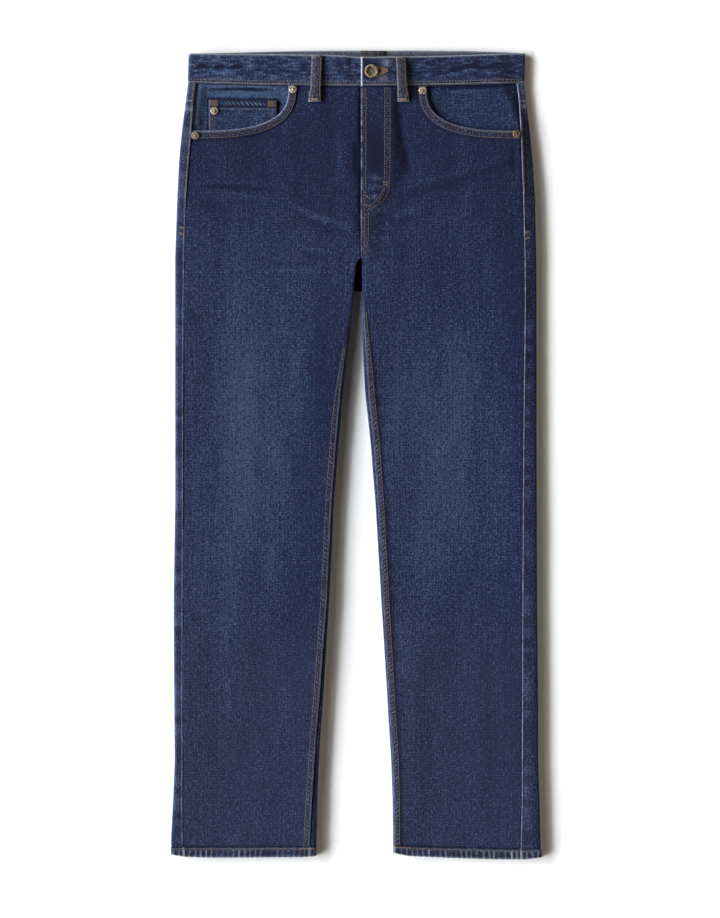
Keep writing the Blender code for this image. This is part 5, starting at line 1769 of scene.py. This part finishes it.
def make_stitching():
    """The front's rows, the hems', the waistband's, and those beside the side seams."""
    for side in SIDES:
        fronts, backs = front_surface(side), back_surface(side)
        hems, band = hem_surface(side), band_surface(side)
        rows = [row_at(fronts, side, even_steps(line, 90)) for line in MOUTH_LINES[side.name]]
        sew("stitches_pocket_" + side.name, rows, TAN, seed=3 + side.sign, radius=0.34)
        down = np.linspace(INSEAM_STARTS[side.name] + 30, side.hem_low - HEM_HEIGHT - 1, 320)
        fold, opened = inseam_girth(side, down), rows_open(side, down)
        rows = [row_on(fronts, fold - inset * opened, down) for inset in INSEAM_ROWS]
        sew("stitches_inseam_" + side.name, rows, TAN, seed=5 + side.sign, radius=0.28, colour=-0.15)
        low = side.hem_low - HEM_HEIGHT + HEM_ROW
        whole = float(full_girth(side, low))
        rows = [row_on(hems, np.linspace(-whole, whole * 0.86, 240), low)]
        sew("stitches_hem_" + side.name, rows, TAN, seed=7 + side.sign, radius=0.38, colour=0.1)
        rows = [row_on(hems, np.linspace(whole * 0.87, whole * 0.998, 40), low)]
        sew("stitches_hem_inner_" + side.name, rows, GOLD, seed=17 + side.sign, radius=0.42, colour=0.35)
        whole = float(full_girth(side, 0.0))
        end = whole - (0.0 if side is RIGHT else 2.0)
        rows = [row_on(band, np.linspace(-whole, end, 300), WAIST_SEAM - BAND_ROW)]
        sew("stitches_band_" + side.name, rows, CREAM, 2.9, 2.8, 0.34, seed=9 + side.sign)
        rows = [row_on(band, np.linspace(fold_radius(0.0) * PI / 2, end, 300), WAIST_SEAM - BAND_DOTS)]
        sew("stitch_dots_band_" + side.name, rows, CREAM, 3.7, 1.3, 0.3, seed=15 + side.sign)
        down = np.linspace(WAIST_SEAM + 2, SIDE_ROWS_END, 80)
        rows = [row_on(backs, side_girth(side, down) - 1.7, down)]
        for at in YOKE_ROWS[side.name]:
            rows.append(row_on(backs, np.linspace(float(side_girth(side, at)) - 2.6, -2.0, 20), at))
        sew("stitches_side_" + side.name, rows, TAN, seed=11 + side.sign, radius=0.3, colour=-0.05)
    rows = [row_at(front_surface(LEFT), LEFT, even_steps(line, 70)) for line in FLY_LINES]
    sew("stitches_fly", rows, TAN, seed=21, radius=0.28, colour=-0.1)


def pocket_row(inset):
    """A row inside a back pocket's edge, in (out, down): one side, the point and the other side."""
    spots = []
    for sign, corners in ((-1, BACK_POCKET), (1, BACK_POCKET[-2::-1])):
        for below, half in corners:
            reach = half - inset * (1.0 if below < 119 else 1.6)
            if abs(reach) > 4:
                down = BACK_POCKET_DOWN + below - (inset if below > 140 else 0)
                spots.append((BACK_POCKET_OUT + sign * reach, down))
    spots = np.array(spots)
    first, last = spots[spots[:, 0] < BACK_POCKET_OUT], spots[spots[:, 0] > BACK_POCKET_OUT]
    point = [[BACK_POCKET_OUT, BACK_POCKET_DOWN + BACK_POCKET[-1][0] - inset * 1.25]]
    return even_steps(np.concatenate([first, point, last]), 140)


def make_back_stitching():
    """Rows under the garment: yoke seams, centre-back seam, back pockets and hidden belt loops."""
    for side in SIDES:
        backs, rows = back_surface(side), []
        width = float(section(side, "outer", 80.0))
        for inset in SEAT_ROWS:
            out = np.linspace(width - 8, inset + 3, 160)
            for above in (-1, 1):
                down = yoke_line(side, out) + above * inset
                rows.append(row_on(backs, -girth_at(side, out, down), down))
            down = np.linspace(YOKE_AT_CENTRE + 4, CROTCH - 6, 90)
            rows.append(row_on(backs, -girth_at(side, inset, down), down))
        sew("stitches_seat_" + side.name, rows, TAN, seed=61 + side.sign, radius=0.32)
        pocket = back_pocket_surface(side)
        rows = [row_on(pocket, *pocket_row(inset).T) for inset in POCKET_ROWS]
        half = float(BACK_POCKET[0][1]) - 3
        out = np.linspace(BACK_POCKET_OUT - half, BACK_POCKET_OUT + half, 60)
        rows.append(row_on(pocket, out, BACK_POCKET_DOWN + POCKET_HEM))
        sew("stitches_back_pocket_" + side.name, rows, GOLD, seed=65 + side.sign, radius=0.32)
    rows = []
    for side, at in ((RIGHT, SIDE_LOOP_OUT), (LEFT, SIDE_LOOP_OUT), (LEFT, 0.0)):
        rows += [row_on(back_loop_surface(side, at), line, np.linspace(4, 50, 50)) for line in LOOP_ROWS]
    sew("stitches_back_loops", rows, TAN, 2.6, 2.1, 0.3, 69, colour=-0.1)


def make_coin_stitching():
    down = np.linspace(COIN_DOWN[0] + 1, COIN_DOWN[1], 40)
    rows = [row_on(coin_surface, out, down) for out in COIN_LINES]
    sew("stitches_coin", rows, TAN, seed=31, radius=0.26, colour=-0.3)


def make_tacks():
    """Bar tacks: short rows of threads side by side. The belt loops' long rows lie between theirs."""
    ends = (
        ((27.6, 160.4), (35.0, 160.9)),
        ((28.2, 163.4), (34.4, 163.8)),
        ((3.0, 176.5), (7.4, 177.6)),
        ((7.4, 177.8), (11.2, 181.6)),
        ((2.0, 188.6), (12.4, 189.6)),
    )
    fly = [row_at(front_surface(LEFT), LEFT, np.linspace(first, last, 12)) for first, last in ends]
    sew("bar_tacks_fly", fly, GOLD, 0.6, 1.6, 0.26, 41, across=True, colour=-0.55)
    sides = []
    for side in SIDES:
        for down in SIDE_TACKS[side.name]:
            girth = float(side_girth(side, down))
            slant = np.linspace(down + 0.9, down - 0.9, 12)
            sides.append(row_on(back_surface(side), np.linspace(girth - 1.4, girth - 6.4, 12), slant))
    sew("bar_tacks_side", sides, GOLD, 0.6, 2.6, 0.32, 43, across=True, colour=-0.1)
    coin = []
    for out in (COIN_OUT[0] + 0.8, COIN_OUT[1] - 11.2):
        for below in (1.3, 2.9, 4.5, 6.1, 7.5):
            coin.append(row_on(coin_surface, np.linspace(out, out + 10.4, 12), COIN_DOWN[0] + below))
    sew("bar_tacks_coin", coin, GOLD, 0.62, 2.0, 0.30, 45, across=True, colour=-0.8)
    ends = (("top", 1.8, 3.4, TAN, 0.1), ("foot", LOOP_FOOT - 3.2, 3.0, GOLD, 0.2))
    for end, down, half, thread, colour in ends:
        loops = [row_on(front_loop_surface(side), np.linspace(-half, half, 12), down) for side in SIDES]
        sew("bar_tacks_loops_" + end, loops, thread, 0.6, 2.0, 0.32, 47, across=True, colour=colour)
    down = np.linspace(4.0, LOOP_FOOT - 6.0, 50)
    rows = [row_on(front_loop_surface(side), line, down) for side in SIDES for line in LOOP_ROWS]
    sew("stitches_loops", rows, TAN, 2.5, 2.1, 0.28, 49, colour=0.3)


def make_buttonhole():
    """Close stitches round the tapered end of the buttonhole: an outer row and a short inner one on
    each side of the slot."""
    sides = [
        [(19.6, 16.8), (26.0, 18.4), (33.8, 20.6)], [(21.4, 19.2), (25.0, 19.8), (29.0, 20.4)],
        [(18.8, 28.2), (26.0, 24.6), (33.8, 21.4)], [(20.6, 25.0), (24.4, 23.6), (28.6, 22.2)],
    ]
    rows = []
    for corners in sides:
        out, below = even_steps(curve(corners, 0.6), 60).T
        down = undipped(LEFT, out, below)
        rows.append(row_on(band_surface(LEFT), girth_at(LEFT, out, down), down))
    sew("buttonhole_stitches", rows, GOLD, 0.6, 2.9, 0.36, 51, across=True)


def cut_buttonhole(band):
    """The hole itself: a round eyelet and a slot, cut through the band's left end."""
    x, y = CENTRE_X + BUTTON_AT[0], WAIST_Y - BUTTON_AT[1]
    opening = math.asin(SLOT_MOUTH / EYELET)
    turn = np.linspace(opening, 2 * PI - opening, 24)
    eyelet = np.stack([EYELET * np.cos(turn), EYELET * np.sin(turn)], axis=-1)
    outline = np.concatenate([eyelet, [[SLOT_END, -SLOT_HALF], [SLOT_END, SLOT_HALF]]]) + (x, y)
    count = len(outline)
    points = np.concatenate([np.c_[outline, np.full(count, height)] for height in (CUT_FROM, CUT_TO)])
    faces = [tuple(range(count))[::-1], tuple(range(count, 2 * count))]
    faces += [(k, (k + 1) % count, count + (k + 1) % count, count + k) for k in range(count)]
    cutter = add_mesh("buttonhole_cutter", points, faces, BAND_DENIM)
    outward(cutter)
    cut = band.modifiers.new("buttonhole", "BOOLEAN")
    cut.object = cutter
    graph = bpy.context.evaluated_depsgraph_get()
    whole = bpy.data.meshes.new_from_object(band.evaluated_get(graph), depsgraph=graph)
    band.modifiers.clear()
    band.data = whole
    bpy.data.objects.remove(cutter)


def declare_sheets():
    """Each cloth piece's cut width, length and area, passed to `declare`, which keeps none of them."""
    for side in SIDES:
        legs = 1.0 if side is RIGHT else 0.96
        declare(0.235, 0.955, 0.172 * legs)
        declare(0.262, 0.945, 0.198 * legs)
        declare(0.228, 0.059, 0.0102)
        declare(0.375, 0.0145, 0.0052)
        declare(0.142, 0.086, 0.0115)
        declare(0.148, 0.144, 0.0190)
        declare(0.0125, 0.060, 0.00073)
        declare(0.0125, 0.054, 0.00066)
    declare(0.0125, 0.054, 0.00066)
    declare(0.086, 0.064, 0.0055)
    declare(0.880, 0.036, 0.0315)
    declare(0.031, 0.025, 0.0008)


def declare(width, length, area):
    area = min(area, width * length)


def set_stage():
    """A white floor, 8 m square."""
    corners = [(4.0 * x, 4.0 * y, 0) for x, y in ((-1, -1), (1, -1), (1, 1), (-1, 1))]
    floor = bpy.data.meshes.new("floor")
    floor.from_pydata(corners, [], [(0, 1, 2, 3)])
    made = new_object("floor", floor)
    white, _, shader = new_material("floor_white", 0.9, 0.0)
    shader.inputs["Base Color"].default_value = (0.93, 0.93, 0.925, 1)
    floor.materials.append(white)
    made.location.z = -0.00005  # clear of the cloth's underside


def set_window(name, facing, turns, low, spread_angle, energy, colour):
    """A long low window as a fan of suns. It stands at `facing` degrees from the viewer's left."""
    for number, turn in enumerate(turns):
        sun = bpy.data.lights.new(f"{name}_{number}", "SUN")
        sun.energy, sun.angle, sun.color = energy / len(turns), math.radians(spread_angle), colour
        made = new_object(sun.name, sun)
        aside, height = math.radians(facing + turn), math.radians(low)
        level = math.cos(height)
        way = Vector((math.cos(aside) * level, math.sin(aside) * level, -math.sin(height)))
        made.rotation_euler = way.to_track_quat("-Z", "Y").to_euler()


def set_lights():
    """A key window low on the viewer's left, a dim warm one on the right, and a little light all round."""
    cool = (0.946, 0.968, 1.0)
    set_window("key", 0, (-30, -15, 0, 15, 30), 10.5, 15, 19.3, cool)
    set_window("key_top", 0, (-20, 20), 20, 22, 1.4, cool)
    for number, (turns, low, spread_angle, energy) in enumerate(FILL_STEPS):
        set_window(f"fill_{number}", 180, turns, low, spread_angle, energy, (1.0, 0.87, 0.68))
    world = bpy.data.worlds.new("studio")
    world.use_nodes = True
    background = world.node_tree.nodes["Background"]
    background.inputs["Color"].default_value = (1.0, 0.86, 0.62, 1)
    background.inputs["Strength"].default_value = 0.020
    bpy.context.scene.world = world


def set_camera():
    """Straight above, through a long lens, framed as in the photo: 900 by 1147.5 mm."""
    lens, sensor, high = 100.0, 36.0, 1147.5
    middle_x, middle_y, focus = 4.7, -5.0, 6.0
    camera = bpy.data.cameras.new("camera")
    camera.lens, camera.sensor_width = lens, sensor
    made = new_object("camera", camera)
    distance = high / 2 / (sensor / 2 / lens) + focus
    made.location = (middle_x * MM, middle_y * MM, distance * MM)
    bpy.context.scene.camera = made
    bpy.context.scene.view_settings.view_transform = "Standard"


set_camera()
waistband = make_cloth()
cut_buttonhole(waistband)
make_metal()
make_stitching()
make_back_stitching()
make_coin_stitching()
make_tacks()
make_buttonhole()
declare_sheets()
set_stage()
set_lights()
